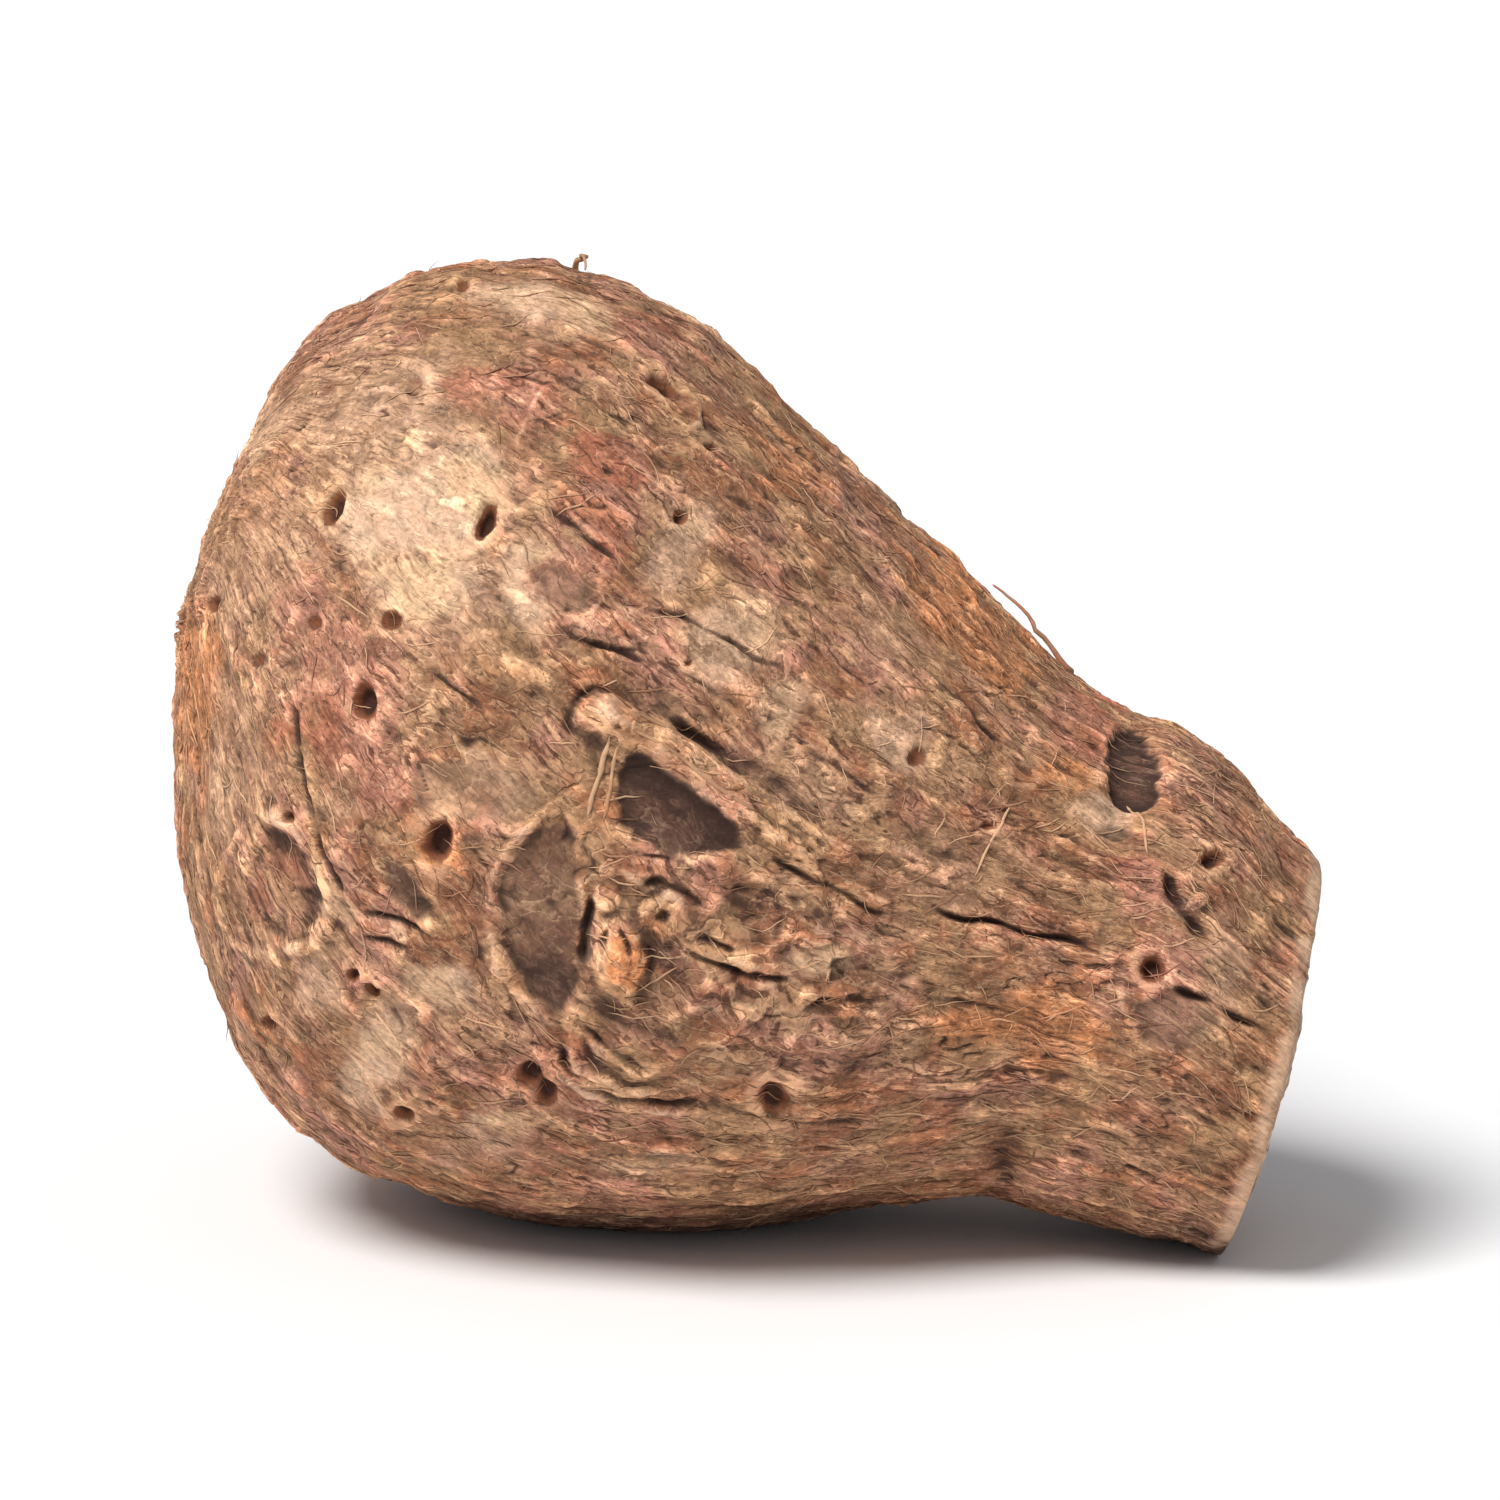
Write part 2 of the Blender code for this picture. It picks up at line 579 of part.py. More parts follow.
def skin_material():
    material = bpy.data.materials.new("corm_skin")
    material.use_nodes = True
    shader = material.node_tree.nodes["Principled BSDF"]
    shader.inputs["Base Color"].default_value = SKIN_COLOUR
    shader.inputs["Roughness"].default_value = SKIN_ROUGHNESS
    shader.inputs["Metallic"].default_value = 0.0
    return material


def linked(name, mesh):
    made = bpy.data.objects.new(name, mesh)
    bpy.context.scene.collection.objects.link(made)
    return made


def ground_cutter():
    """A block whose top is the plane that the corm rests on."""
    half, deep = LENGTH * METRES, 0.02
    corners = [(x, y, z) for z in (-deep, 0.0) for x, y in ((-half, -half), (half, -half), (half, half), (-half, half))]
    faces = [(3, 2, 1, 0), (4, 5, 6, 7), (0, 1, 5, 4), (1, 2, 6, 5), (2, 3, 7, 6), (3, 0, 4, 7)]
    mesh = bpy.data.meshes.new("ground_cutter")
    mesh.from_pydata(corners, [], faces)
    cutter = linked("ground_cutter", mesh)
    cutter.hide_render = True
    cutter.display_type = "WIRE"
    return cutter


def main():
    for old in list(bpy.data.objects):
        bpy.data.objects.remove(old, do_unlink=True)
    corm = linked("corm", corm_mesh())
    corm.data.materials.append(skin_material())

    thin = corm.modifiers.new("thin_where_smooth", "DECIMATE")
    thin.ratio = KEPT_TRIANGLES / (2.0 * POINTS_AROUND * (SKIN_ROWS + CUT_ROWS - 2))
    thin.use_collapse_triangulate = True

    rest = corm.modifiers.new("resting_face", "BOOLEAN")
    rest.operation = "DIFFERENCE"
    rest.solver = "EXACT"
    rest.object = ground_cutter()


main()
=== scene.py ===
# %% [markdown]
# This scene dresses a taro corm of the kind that is sold as purple yam. The real thing is a swollen
# underground stem, pulled from the soil, brushed and dried: a pear lying on its side, brown and matt, with
# a skin of cork and fibre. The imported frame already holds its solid, at its real size and in its real
# place. Here the same form is made again on a much finer grid, so that the skin can carry its scars,
# cracks, wrinkles and threads as real geometry.

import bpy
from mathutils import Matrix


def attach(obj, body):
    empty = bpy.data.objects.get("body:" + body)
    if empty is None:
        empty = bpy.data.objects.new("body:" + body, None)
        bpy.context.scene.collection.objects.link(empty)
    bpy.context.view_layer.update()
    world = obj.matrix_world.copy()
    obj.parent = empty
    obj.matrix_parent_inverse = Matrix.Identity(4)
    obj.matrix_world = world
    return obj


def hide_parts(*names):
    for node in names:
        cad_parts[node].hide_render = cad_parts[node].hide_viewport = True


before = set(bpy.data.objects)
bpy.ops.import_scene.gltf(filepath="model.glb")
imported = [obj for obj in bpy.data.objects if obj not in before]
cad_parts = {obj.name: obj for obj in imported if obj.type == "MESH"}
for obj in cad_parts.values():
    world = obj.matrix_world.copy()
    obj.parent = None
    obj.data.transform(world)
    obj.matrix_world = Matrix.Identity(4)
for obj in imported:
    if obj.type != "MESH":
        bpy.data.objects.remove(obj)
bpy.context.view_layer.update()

# %% [markdown]
# The form can be modelled by sculpting, by a subdivided cage or by a loft. A loft suits a corm best: a few
# oval sections along its sloping axis are enough for the pear, and every later mark has a place on it, as a
# distance from the crown and a turn round the axis. The sections are the same as in the solid, so both have
# one outline.

# %% Sizes of the body, in millimetres
import itertools
import math
import random

import bpy
import numpy as np

MM = 0.001
LENGTH = 78.4  # from the crown to the cut, along X
HEIGHT = 67.4  # from the loft's lowest point to the top of the belly
DEPTH = 62.5  # the belly's width from front to back
SECTIONS = (
    # top line      underside      width   lean
    (0.019, 0.667, 0.019, 0.667, 0.000, 0.000),  # middle of the crown
    (0.100, 0.894, 0.005, 0.589, 0.357, 0.000),
    (0.166, 0.955, 0.003, 0.472, 0.554, 0.000),
    (0.239, 0.989, 0.011, 0.336, 0.742, 0.000),
    (0.332, 0.983, 0.056, 0.192, 0.909, 0.000),
    (0.427, 0.942, 0.131, 0.089, 0.988, 0.000),
    (0.515, 0.864, 0.236, 0.029, 1.000, 0.000),  # belly
    (0.598, 0.779, 0.354, 0.002, 0.952, -0.015),
    (0.680, 0.686, 0.484, 0.002, 0.852, -0.033),
    (0.757, 0.607, 0.605, 0.034, 0.707, -0.063),
    (0.830, 0.552, 0.708, 0.052, 0.604, -0.090),  # foot of the collar
    (0.907, 0.507, 0.807, 0.038, 0.556, -0.117),
    (1.000, 0.400, 0.914, 0.000, 0.467, -0.150),  # rim of the cut
)
RULER_STEPS, RULER_TURNS = 1500, 12  # places along and round the loft where its skin is measured
SEED = 11


def smoothstep(low, high, value):
    """0 below low, 1 above high, and a smooth rise between them."""
    share = np.clip((value - low) / (high - low), 0.0, 1.0)
    return share * share * (3.0 - 2.0 * share)


def bell(value, width):
    """1 where the value is 0, falling smoothly on both sides to about a third at this width."""
    return np.exp(-((value / width) ** 2))


def section_at(place):
    """The loft's section at a place counted in sections: a smooth curve through the rows of SECTIONS."""
    rows = np.array(SECTIONS)
    # Past the crown the skin comes back on its other side, so that the crown is round
    before_crown = rows[1][[2, 3, 0, 1, 4, 5]] * (1, 1, 1, 1, -1, 1)
    past_cut = 2.0 * rows[-1] - rows[-2]
    rows = np.vstack([before_crown, rows, past_cut])
    first = np.clip(np.floor(place).astype(int), 0, len(SECTIONS) - 2)
    share = (place - first)[..., None]
    a, b, c, d = (rows[first + step] for step in range(4))
    return 0.5 * (
        2.0 * b
        + (c - a) * share
        + (2.0 * a - 5.0 * b + 4.0 * c - d) * share**2
        + (3.0 * b - a - 3.0 * c + d) * share**3
    )


def loft_point(place, turn):
    """Points of the smooth loft. turn is 0 on the top line and a quarter turn at the back."""
    top_x, top_z, low_x, low_z, width, lean = np.moveaxis(section_at(place), -1, 0)
    up = np.cos(turn)
    x = LENGTH * ((top_x + low_x) + (top_x - low_x) * up) / 2.0 - LENGTH / 2.0
    z = HEIGHT * ((top_z + low_z) + (top_z - low_z) * up) / 2.0
    y = DEPTH * (lean + width / 2.0 * np.sin(turn))
    return np.stack([x, y, z], axis=-1)


def skin_ruler():
    """Places from the crown to the cut, and how far along the skin each lies."""
    place = np.linspace(0.0, len(SECTIONS) - 1.0, RULER_STEPS)
    turn = np.linspace(0.0, 2.0 * math.pi, RULER_TURNS, endpoint=False)
    points = loft_point(place[:, None], turn[None, :])
    steps = np.linalg.norm(np.diff(points, axis=0), axis=2).mean(axis=1)
    return place, np.concatenate([[0.0], np.cumsum(steps)])


PLACES, DISTANCES = skin_ruler()
SKIN_LENGTH = DISTANCES[-1]
print("the skin is", round(SKIN_LENGTH, 1), "mm long from the crown to the cut")

# %% [markdown]
# Nothing on a corm is regular, so each mark is moved, broken or faded by noise. A texture node could give
# it, but the same noise has to move real points as well, so it is worked out here with numpy: each corner
# of a cell has a slope of its own, and the slopes are blended between the corners.

# %% Noise
NOISE_TABLE = 256  # a power of 2, so that a cell's number wraps with a bit mask
NOISE_WRAP = NOISE_TABLE - 1
NOISE_GAIN = 1.6  # brings the noise to about -1 to 1


def noise_slopes():
    """A fixed random direction and a fixed shuffle, which give each corner of the noise's cells its slope."""
    draw = np.random.RandomState(SEED)
    slopes = draw.normal(size=(NOISE_TABLE, 3))
    return slopes / np.linalg.norm(slopes, axis=1, keepdims=True), draw.permutation(NOISE_TABLE)


SLOPES, SHUFFLE = noise_slopes()


def noise_at(points, spacing, shift=0.0):
    """Smooth noise, from about -1 to 1, with hills about one spacing apart."""
    scaled = points / np.array(spacing) + shift
    cell = np.floor(scaled).astype(int)
    inside = scaled - cell
    eased = inside**3 * (inside * (inside * 6.0 - 15.0) + 10.0)
    total = np.zeros(points.shape[:-1])
    for corner in itertools.product((0, 1), repeat=3):
        x, y, z = np.moveaxis((cell + corner) & NOISE_WRAP, -1, 0)
        slope = SLOPES[SHUFFLE[(SHUFFLE[(SHUFFLE[x] + y) & NOISE_WRAP] + z) & NOISE_WRAP]]
        weight = np.prod(np.where(corner, eased, 1.0 - eased), axis=-1)
        total += weight * ((inside - corner) * slope).sum(axis=-1)
    return NOISE_GAIN * total


# %% [markdown]
# The skin is a grid: its rows run from the crown to the cut, and its columns go round. Each point also
# knows where an eye in front of the corm sees it, because the marks on the front are measured that way:
# across to the right, and up from where the belly rests.

# %% The skin as a grid
ROWS, COLUMNS = 500, 1040
MARK_ROWS, MARK_COLUMNS = 190, 240  # a coarse grid is enough to find where each mark sits
VIEW_TILT = math.radians(12.0)
VIEW_DISTANCE = 673.0  # from the eye to the middle of the corm
TO_EYE = np.array((0.0, -math.cos(VIEW_TILT), math.sin(VIEW_TILT)))
EDGE_ON = 0.05  # skin that faces the eye less than this isn't marked from the front
HIDDEN = 0.12  # skin that faces the eye less than this gets the scattered marks
FAR_OFF = 1000.0  # a distance that no mark reaches
MARK_REACH = 12.0  # how far from its middle a mark can reach
SMALL_STEP = 0.01  # in sections and in radians, to find the way along the skin and round it


def spot(share, turn):
    """A point of the loft at a share of the skin's length, its normal, and the way along the skin there."""
    place = np.interp(share * SKIN_LENGTH, DISTANCES, PLACES)
    point = loft_point(np.array(place), np.array(turn))
    along = loft_point(np.array(place + SMALL_STEP), np.array(turn)) - point
    around = loft_point(np.array(place), np.array(turn + SMALL_STEP)) - point
    normal = np.cross(along, around)
    return point, normal / np.linalg.norm(normal), along / np.linalg.norm(along)


def outward(points):
    """Unit normals of a grid whose rows run from the crown to the neck and whose columns go round."""
    along = np.gradient(points, axis=0)
    around = np.roll(points, -1, axis=1) - np.roll(points, 1, axis=1)
    normal = np.cross(along, around)
    normal[0] = (-1.0, 0.0, 0.0)
    return normal / np.linalg.norm(normal, axis=2, keepdims=True)


def leaning(first, second, lean_degrees):
    """Two distances measured along axes that lean by this angle."""
    lean = math.radians(lean_degrees)
    cosine, sine = math.cos(lean), math.sin(lean)
    return first * cosine + second * sine, second * cosine - first * sine


class Skin:
    """The smooth loft as a grid of points, with what the marks need to know of each point."""

    def __init__(self, rows, columns):
        self.distance = np.linspace(0.0, SKIN_LENGTH, rows)
        place = np.interp(self.distance, DISTANCES, PLACES)
        self.turn = np.linspace(0.0, 2.0 * math.pi, columns, endpoint=False)
        self.points = loft_point(place[:, None], self.turn[None, :])
        self.normals = outward(self.points)
        x, y, z = np.moveaxis(self.points, -1, 0)
        nearer = -y * math.cos(VIEW_TILT) + (z - HEIGHT / 2.0) * math.sin(VIEW_TILT)
        scale = VIEW_DISTANCE / (VIEW_DISTANCE - nearer)
        self.across = x * scale
        above_middle = (z - HEIGHT / 2.0) * math.cos(VIEW_TILT) + y * math.sin(VIEW_TILT)
        self.up = HEIGHT / 2.0 * math.cos(VIEW_TILT) + above_middle * scale
        self.facing = self.normals @ TO_EYE
        self.share = np.broadcast_to((self.distance / SKIN_LENGTH)[:, None], x.shape)

    def seen_cell(self, across, up):
        """The row and the column of the front point that an eye sees at this place."""
        miss = np.hypot(self.across - across, self.up - up) + FAR_OFF * (self.facing < EDGE_ON)
        return np.unravel_index(miss.argmin(), miss.shape)

    def seen_spot(self, across, up):
        """The front point that an eye sees at this place, its normal, and the way along the skin there."""
        row, column = self.seen_cell(across, up)
        return spot(self.share[row, column], self.turn[column])

    def from_spot(self, centre):
        """How far each point lies from a spot, along the corm and round it, with what is far off left out."""
        point, normal, along = centre
        offset = self.points - point
        far = FAR_OFF * (np.linalg.norm(offset, axis=2) > MARK_REACH)
        return offset @ along + far, offset @ np.cross(normal, along) + far

    def seen_place(self, across, up, half_width, half_height, lean_degrees):
        """The place of each point in an oval on the front: 0, 0 in its middle, 1 from there on its edge."""
        wide, high = leaning(self.across - across, self.up - up, lean_degrees)
        hidden = FAR_OFF * (self.facing < EDGE_ON)
        return wide / half_width + hidden, high / half_height + hidden


skin = Skin(ROWS, COLUMNS)
mark_skin = Skin(MARK_ROWS, MARK_COLUMNS)
print("the skin's grid has", skin.share.size, "points")


def skin_noise(spacing, shift):
    """Noise over the skin, with hills about one spacing apart. Any number shifts it to another noise."""
    return noise_at(skin.points, spacing, shift)


def blank():
    """A zero for each point of the skin."""
    return np.zeros(skin.share.shape)


# %% [markdown]
# The main relief comes first, as in the solid. Old leaf bases leave growth rings, which swell towards the
# neck and then drop, and which rubbing has worn away on the front. Wrinkles run along the corm, gather at
# the neck, and part round each eye like the grain of wood round a knot. Broad lumps keep the pear from
# looking turned on a lathe.

# %% Rings, wrinkles and lumps
RING_SPACING = 6.2
RING_HEIGHT = 0.5
RING_CREST = 0.78  # the share of a ring's spacing over which it swells, before it drops
RING_MIDDLE = 0.4  # the share of a ring's height that lies below the smooth form
RING_WAVE = 1.6  # how far a ring wanders along the corm
RING_WAVE_SPACING = 17.0
RING_WEAR_SPACING = 21.0
RING_FRONT_WEAR = 0.55  # how much more the front is worn than the rest
WRINKLE_SPACING = 2.6
WRINKLE_LENGTH = 24.0
WRINKLE_HEIGHT = 0.36
GIRTH = 24.0  # the corm's radius, as spacings round it are measured
CROWN_LENGTH = 14.0  # the length over which the grain's rings open out from the crown
LUMP_SPACING = 24.0
LUMP_HEIGHT = 0.9
SMALL_LUMPS = 0.42  # the size of the smaller lumps, as a share of the broad ones

# Eyes on the front: across, up, half width, half height, number of folds round it
FRONT_EYES = (
    (-5.9, 19.0, 9.5, 9.5, 3),
    (7.3, 13.8, 4.6, 4.0, 1),
)
EYE_FOLD = 0.168
EYE_FLOW = 0.8  # how far beyond an eye the wrinkles bend, as a share of its size
FINE_FLOW = 0.45  # how much of that bend the fine grain has

# Bud scars that the front view doesn't show: share of the skin's length, turn in degrees from the top
# towards the back, half length, half width
HIDDEN_BUDS = (
    (0.30, 62, 5.0, 3.6),
    (0.46, 128, 5.6, 4.0),
    (0.62, 78, 4.6, 3.2),
    (0.22, 158, 4.4, 3.4),
    (0.66, 24, 4.2, 3.0),
    (0.78, 142, 3.6, 2.6),
)
BUD_SINK = 0.5
BUD_RIM = 0.6
BUD_TIP = 0.9  # height of the small tip in a bud scar

eye_spots = [(mark_skin.seen_spot(*eye[:2]), eye[2], eye[3]) for eye in FRONT_EYES]
eye_spots += [(spot(bud[0], math.radians(bud[1])), bud[2], bud[3]) for bud in HIDDEN_BUDS]


def flowing_turn():
    """Each point's turn as the wrinkles see it: they part before each eye and bud and close after it."""
    steps = np.roll(skin.points, -1, axis=1) - np.roll(skin.points, 1, axis=1)
    per_turn = np.linalg.norm(steps, axis=2) / (4.0 * math.pi / COLUMNS)
    turn = np.broadcast_to(skin.turn, skin.share.shape).copy()
    for centre, half_length, half_width in eye_spots:
        along, around = skin.from_spot(centre)
        reach = np.hypot(along / half_length, around / half_width) / (1.0 + EYE_FLOW)
        near = np.abs(around) < MARK_REACH
        turn[near] -= (around / np.maximum(per_turn, 1.0) * bell(reach, 1.0))[near]
    return turn


flow = flowing_turn()
fine_flow = skin.turn + FINE_FLOW * (flow - skin.turn)


def ring_phase():
    """The place within its ring of each point, from 0 behind one crest to 1 behind the next."""
    wave = RING_WAVE * skin_noise(RING_WAVE_SPACING, 1.3)
    return ((skin.distance[:, None] + wave) / RING_SPACING) % 1.0


def ring_strength():
    """How much of a ring is left."""
    left_over = skin_noise(RING_WEAR_SPACING, 5.9) - RING_FRONT_WEAR * np.clip(skin.facing, 0, 1)
    ends = smoothstep(0.04, 0.12, skin.share) * (1.0 - smoothstep(0.60, 0.78, skin.share))
    return smoothstep(-0.60, 0.05, left_over) * ends


phase, ring_left = ring_phase(), ring_strength()
ring_shape = smoothstep(0.0, RING_CREST, phase) - smoothstep(RING_CREST, 1.0, phase) - RING_MIDDLE
rings = RING_HEIGHT * ring_shape * ring_left
from_crown = skin.distance[:, None]
widening = GIRTH * smoothstep(-4.0, CROWN_LENGTH, from_crown)


def wrapped(along, radius, turn):
    """Points of a straight corm: this far along it, at this radius, at this turn."""
    return np.stack(np.broadcast_arrays(along, radius * np.cos(turn), radius * np.sin(turn)), axis=-1)


def along_grain(length, width, shift):
    """Noise drawn out along the corm, to this length and width, which flows round the eyes."""
    return noise_at(wrapped(from_crown / length, widening / width, fine_flow), 1.0, shift)


def wrinkles():
    """Folds along the corm, which part at the eyes and get deeper towards the neck."""
    drawn_out = wrapped(from_crown / WRINKLE_LENGTH, GIRTH / WRINKLE_SPACING, flow)
    folds = 1.0 - 2.0 * np.abs(noise_at(drawn_out, 1.0, 2.2))
    strength = smoothstep(0.05, 0.25, skin.share) * (0.25 + 0.75 * smoothstep(0.50, 0.80, skin.share))
    return WRINKLE_HEIGHT * (folds - 0.6) * strength


def lumps():
    """Broad lumps, with smaller ones on them."""
    broad = skin_noise(LUMP_SPACING, 3.1)
    small = skin_noise(LUMP_SPACING * SMALL_LUMPS, 7.7)
    return LUMP_HEIGHT * (broad + SMALL_LUMPS * small)


folded, lumped = wrinkles(), lumps()
print("rings", round(float(rings.max()), 2), "mm high, wrinkles", round(float(folded.max()), 2), "mm high")

# %% [markdown]
# Where a root came off it left a round scar: a pit with a raised, pale rim and a nub of dried strands in
# it. The scars on the front sit where they were measured. The other sides get theirs from a seeded draw,
# because a corm bears roots all round.

# %% Root scars
FRONT_SCARS = (  # across, up, half width, half height, lean in degrees, depth, rim height
    (-28.8, 49.2, 0.65, 1.3, -25, 0.9, 0.12),
    (-17.9, 48.2, 0.65, 1.6, -22, 0.9, 0.20),
    (-23.0, 57.6, 1.00, 1.0, 0, 0.2, 0.28),
    (-24.6, 41.3, 0.75, 0.8, 0, 0.6, 0.12),
    (-26.2, 35.5, 0.95, 1.45, 10, 1.2, 0.20),
    (-5.8, 57.2, 1.30, 0.6, -30, 0.7, 0.22),
    (-2.5, 53.0, 0.45, 0.4, 0, 0.5, 0.10),
    (-4.4, 48.4, 0.50, 0.6, 0, 0.6, 0.12),
    (-19.6, 64.1, 0.45, 0.4, 0, 0.4, 0.10),
    (-36.7, 42.3, 0.50, 0.6, 0, 0.5, 0.10),
    (-33.3, 38.5, 0.65, 0.6, 0, 0.3, 0.15),
    (-30.0, 41.1, 0.50, 0.5, 0, 0.4, 0.10),
    (-21.1, 25.9, 1.05, 1.5, -10, 1.2, 0.20),
    (-27.0, 16.7, 0.50, 0.5, 0, 0.7, 0.05),
    (-25.7, 15.6, 0.50, 0.7, 40, 0.8, 0.05),
    (-32.7, 13.5, 0.55, 0.5, 0, 0.6, 0.10),
    (-23.7, 7.0, 0.70, 0.6, 0, 0.7, 0.20),
    (-14.9, 9.6, 1.00, 0.8, 0, 0.9, 0.12),
    (-13.7, 8.4, 0.80, 1.0, 0, 0.9, 0.12),
    (2.1, 7.9, 1.10, 1.4, 0, 0.8, 0.30),
    (-31.3, 27.6, 0.40, 0.4, 0, 0.6, 0.05),
    (28.3, 17.1, 0.90, 0.9, 0, 1.0, 0.35),
    (32.2, 24.4, 0.85, 0.6, 20, 0.8, 0.18),
    (35.2, 7.0, 0.50, 0.5, 0, 0.6, 0.10),
    (34.9, 4.2, 0.45, 0.5, 0, 0.5, 0.10),
    (11.8, 31.7, 0.75, 0.8, 0, 0.4, 0.15),
    (-3.9, 38.2, 0.35, 0.3, 0, 0.4, 0.05),
    (17.0, 27.0, 0.55, 0.4, 0, 0.5, 0.10),
    (19.4, 30.8, 0.80, 0.8, 0, 0.15, 0.20),
)
SCARS_ELSEWHERE = 70
SCAR_CLEARANCE = 6.5  # the least distance between two scattered scars
REST_SMOOTH = 3.5  # the skin is smooth up to this height, where it rests


def scar_centres():
    """Of each root scar its spot, half length, half width, lean, depth and rim height: the front's first."""
    found = [(mark_skin.seen_spot(*row[:2]), *row[2:]) for row in FRONT_SCARS]
    buds = [centre for centre, _, _ in eye_spots]
    draw = random.Random(SEED)
    wanted = len(found) + SCARS_ELSEWHERE
    while len(found) < wanted:
        centre = spot(draw.uniform(0.05, 0.96), draw.uniform(0.0, 2.0 * math.pi))
        radius = draw.uniform(0.5, 1.1)
        squeeze, lean = draw.uniform(0.65, 1.0), draw.uniform(-60.0, 60.0)
        depth, rim = draw.uniform(0.5, 1.0), draw.uniform(0.08, 0.28)
        point, normal, _ = centre
        nearest = min(np.linalg.norm(point - other[0]) for other in buds + [mark[0] for mark in found])
        if normal @ TO_EYE < HIDDEN and nearest > SCAR_CLEARANCE and point[2] > REST_SMOOTH:
            found.append((centre, radius * squeeze, radius, lean, depth, rim))
    return found


root_scars = scar_centres()
print(len(root_scars), "root scars")

# %% [markdown]
# Larger marks follow: sunk bud scars and torn places with a lip on the side of the crown, a small side bud,
# a bundle of root strands that ends on the front, folds round the eyes, and flat side buds on the back and
# the top.

# %% Bud scars, torn places, knobs and eyes
FRONT_PATCHES = (  # across, up, half width, half height, lean in degrees, sunk depth, rim height
    (-31.6, 23.2, 2.6, 4.4, 10, 0.45, 0.0),  # inside of the shell-shaped bud scar by the crown
    (0.4, 20.8, 2.6, 2.4, 0, 0.20, 0.2),
)
FRONT_KNOBS = (  # across, up, half width, half height, lean in degrees, height
    (-8.5, 18.0, 2.3, 3.9, 2, 1.25),  # small side bud
    (-8.8, 18.2, 0.9, 2.0, 6, 0.55),  # its tip
    (-5.6, 20.7, 1.9, 1.8, 0, 0.6),
    (-9.6, 22.0, 1.2, 1.4, 0, 0.6),
    (-5.6, 20.8, 0.6, 0.5, 0, -0.6),
    (-10.0, 34.5, 2.2, 1.6, -35, 0.85),  # broken end of a bundle of strands
    (-3.6, 31.0, 7.8, 1.7, -38, 0.45),  # the bundle, running on towards the neck
    (7.3, 13.4, 3.4, 1.6, 8, 0.35),
    (27.8, 26.6, 2.2, 1.0, -30, 0.5),  # torn skin below the hollow
    (31.2, 21.6, 0.9, 0.5, 30, 0.6),
)
SMOOTH_PLATES = (  # depth, darkness, paleness of its rim, then the corners of its outline, across and up
    (0.24, 0.50, 0.8,
     ((-12.6, 28.2), (-15.6, 26.2), (-17.3, 22.9), (-17.5, 19.6), (-16.2, 16.1), (-13.2, 13.4),
      (-11.0, 14.8), (-10.8, 19.6), (-10.6, 23.9))),
    (0.34, 0.80, 0.1,
     ((-8.4, 32.8), (-9.0, 29.0), (-8.5, 26.0), (-5.3, 24.7), (-1.0, 24.8), (0.6, 25.9), (-3.4, 30.0))),
    (0.05, 0.0, 0.3,
     ((-22.8, 31.4), (-18.5, 32.1), (-16.0, 31.1), (-12.6, 28.8), (-15.8, 26.9), (-19.5, 27.2),
      (-22.8, 28.5))),
    (0.25, 0.65, 0.2,
     ((-25.3, 25.1), (-23.4, 24.8), (-21.9, 22.6), (-21.3, 20.2), (-23.1, 20.2), (-25.0, 22.9))),
    (0.12, 0.15, 0.4,
     ((-15.2, 45.6), (-12.8, 45.6), (-10.0, 44.0), (-10.5, 41.9), (-12.6, 41.2), (-14.4, 43.0))),
    (0.55, 1.00, 0.0, ((24.9, 33.4), (27.1, 34.9), (28.8, 32.6), (29.1, 28.7), (27.1, 27.1), (24.9, 29.5))),
    (0.15, 0.45, 0.1, ((26.3, 14.6), (30.0, 16.1), (32.8, 13.9), (31.8, 11.4), (28.2, 11.4))),
)
OUTLINE_WANDER = 0.42  # how far noise moves a plate's outline
OUTLINE_NOISE = ((3.0, 1.0), (1.2, 0.7), (0.6, 0.5))  # spacings and shares of that noise
CORNER_ROUNDING = 0.45  # the radius, in mm, over which a plate's corners are rounded
PLATE_RIM = 0.16  # height of the thin rim round a plate
PATCH_RAGGED = 0.12  # how far noise bends a patch's edge, as a share of its size


def patches():
    """How far the patches raise or sink each point."""
    height = blank()
    wander = PATCH_RAGGED * skin_noise(2.6, 3.6)
    for *oval, sunk, rim in FRONT_PATCHES:
        wide, high = skin.seen_place(*oval)
        reach = np.hypot(wide, high) + wander
        edge = bell(reach - 1.08, 0.13) * smoothstep(-0.6, 0.7, wide)
        height += rim * edge - sunk * (1.0 - smoothstep(0.8, 1.03, reach))
    return height


def knobs():
    """What stands out of the skin: a side bud, the end of a bundle of strands, and torn skin."""
    height = blank()
    wander = 2.0 * PATCH_RAGGED * skin_noise(1.5, 7.1)
    uneven = 1.0 + 0.35 * skin_noise(1.1, 2.7)
    for *oval, tall in FRONT_KNOBS:
        wide, high = skin.seen_place(*oval)
        height += tall * uneven * (1.0 - smoothstep(0.35, 1.05, np.hypot(wide, high) + wander))
    return height


def eyes():
    """Folds round each eye, strongest below it and towards the neck."""
    height = blank()
    for *oval, folds in FRONT_EYES:
        wide, high = skin.seen_place(*oval, 0.0)
        reach = np.hypot(wide, high) + 0.12 * skin_noise(3.0, 1.2)
        fade = smoothstep(0.12, 0.35, reach) * (1.0 - smoothstep(0.75, 1.15, reach))
        fade = fade * smoothstep(-0.5, 0.5, 0.8 * wide - high)
        height += EYE_FOLD * fade * (1.0 - 2.0 * np.abs(np.cos(math.pi * folds * reach)))
    return height


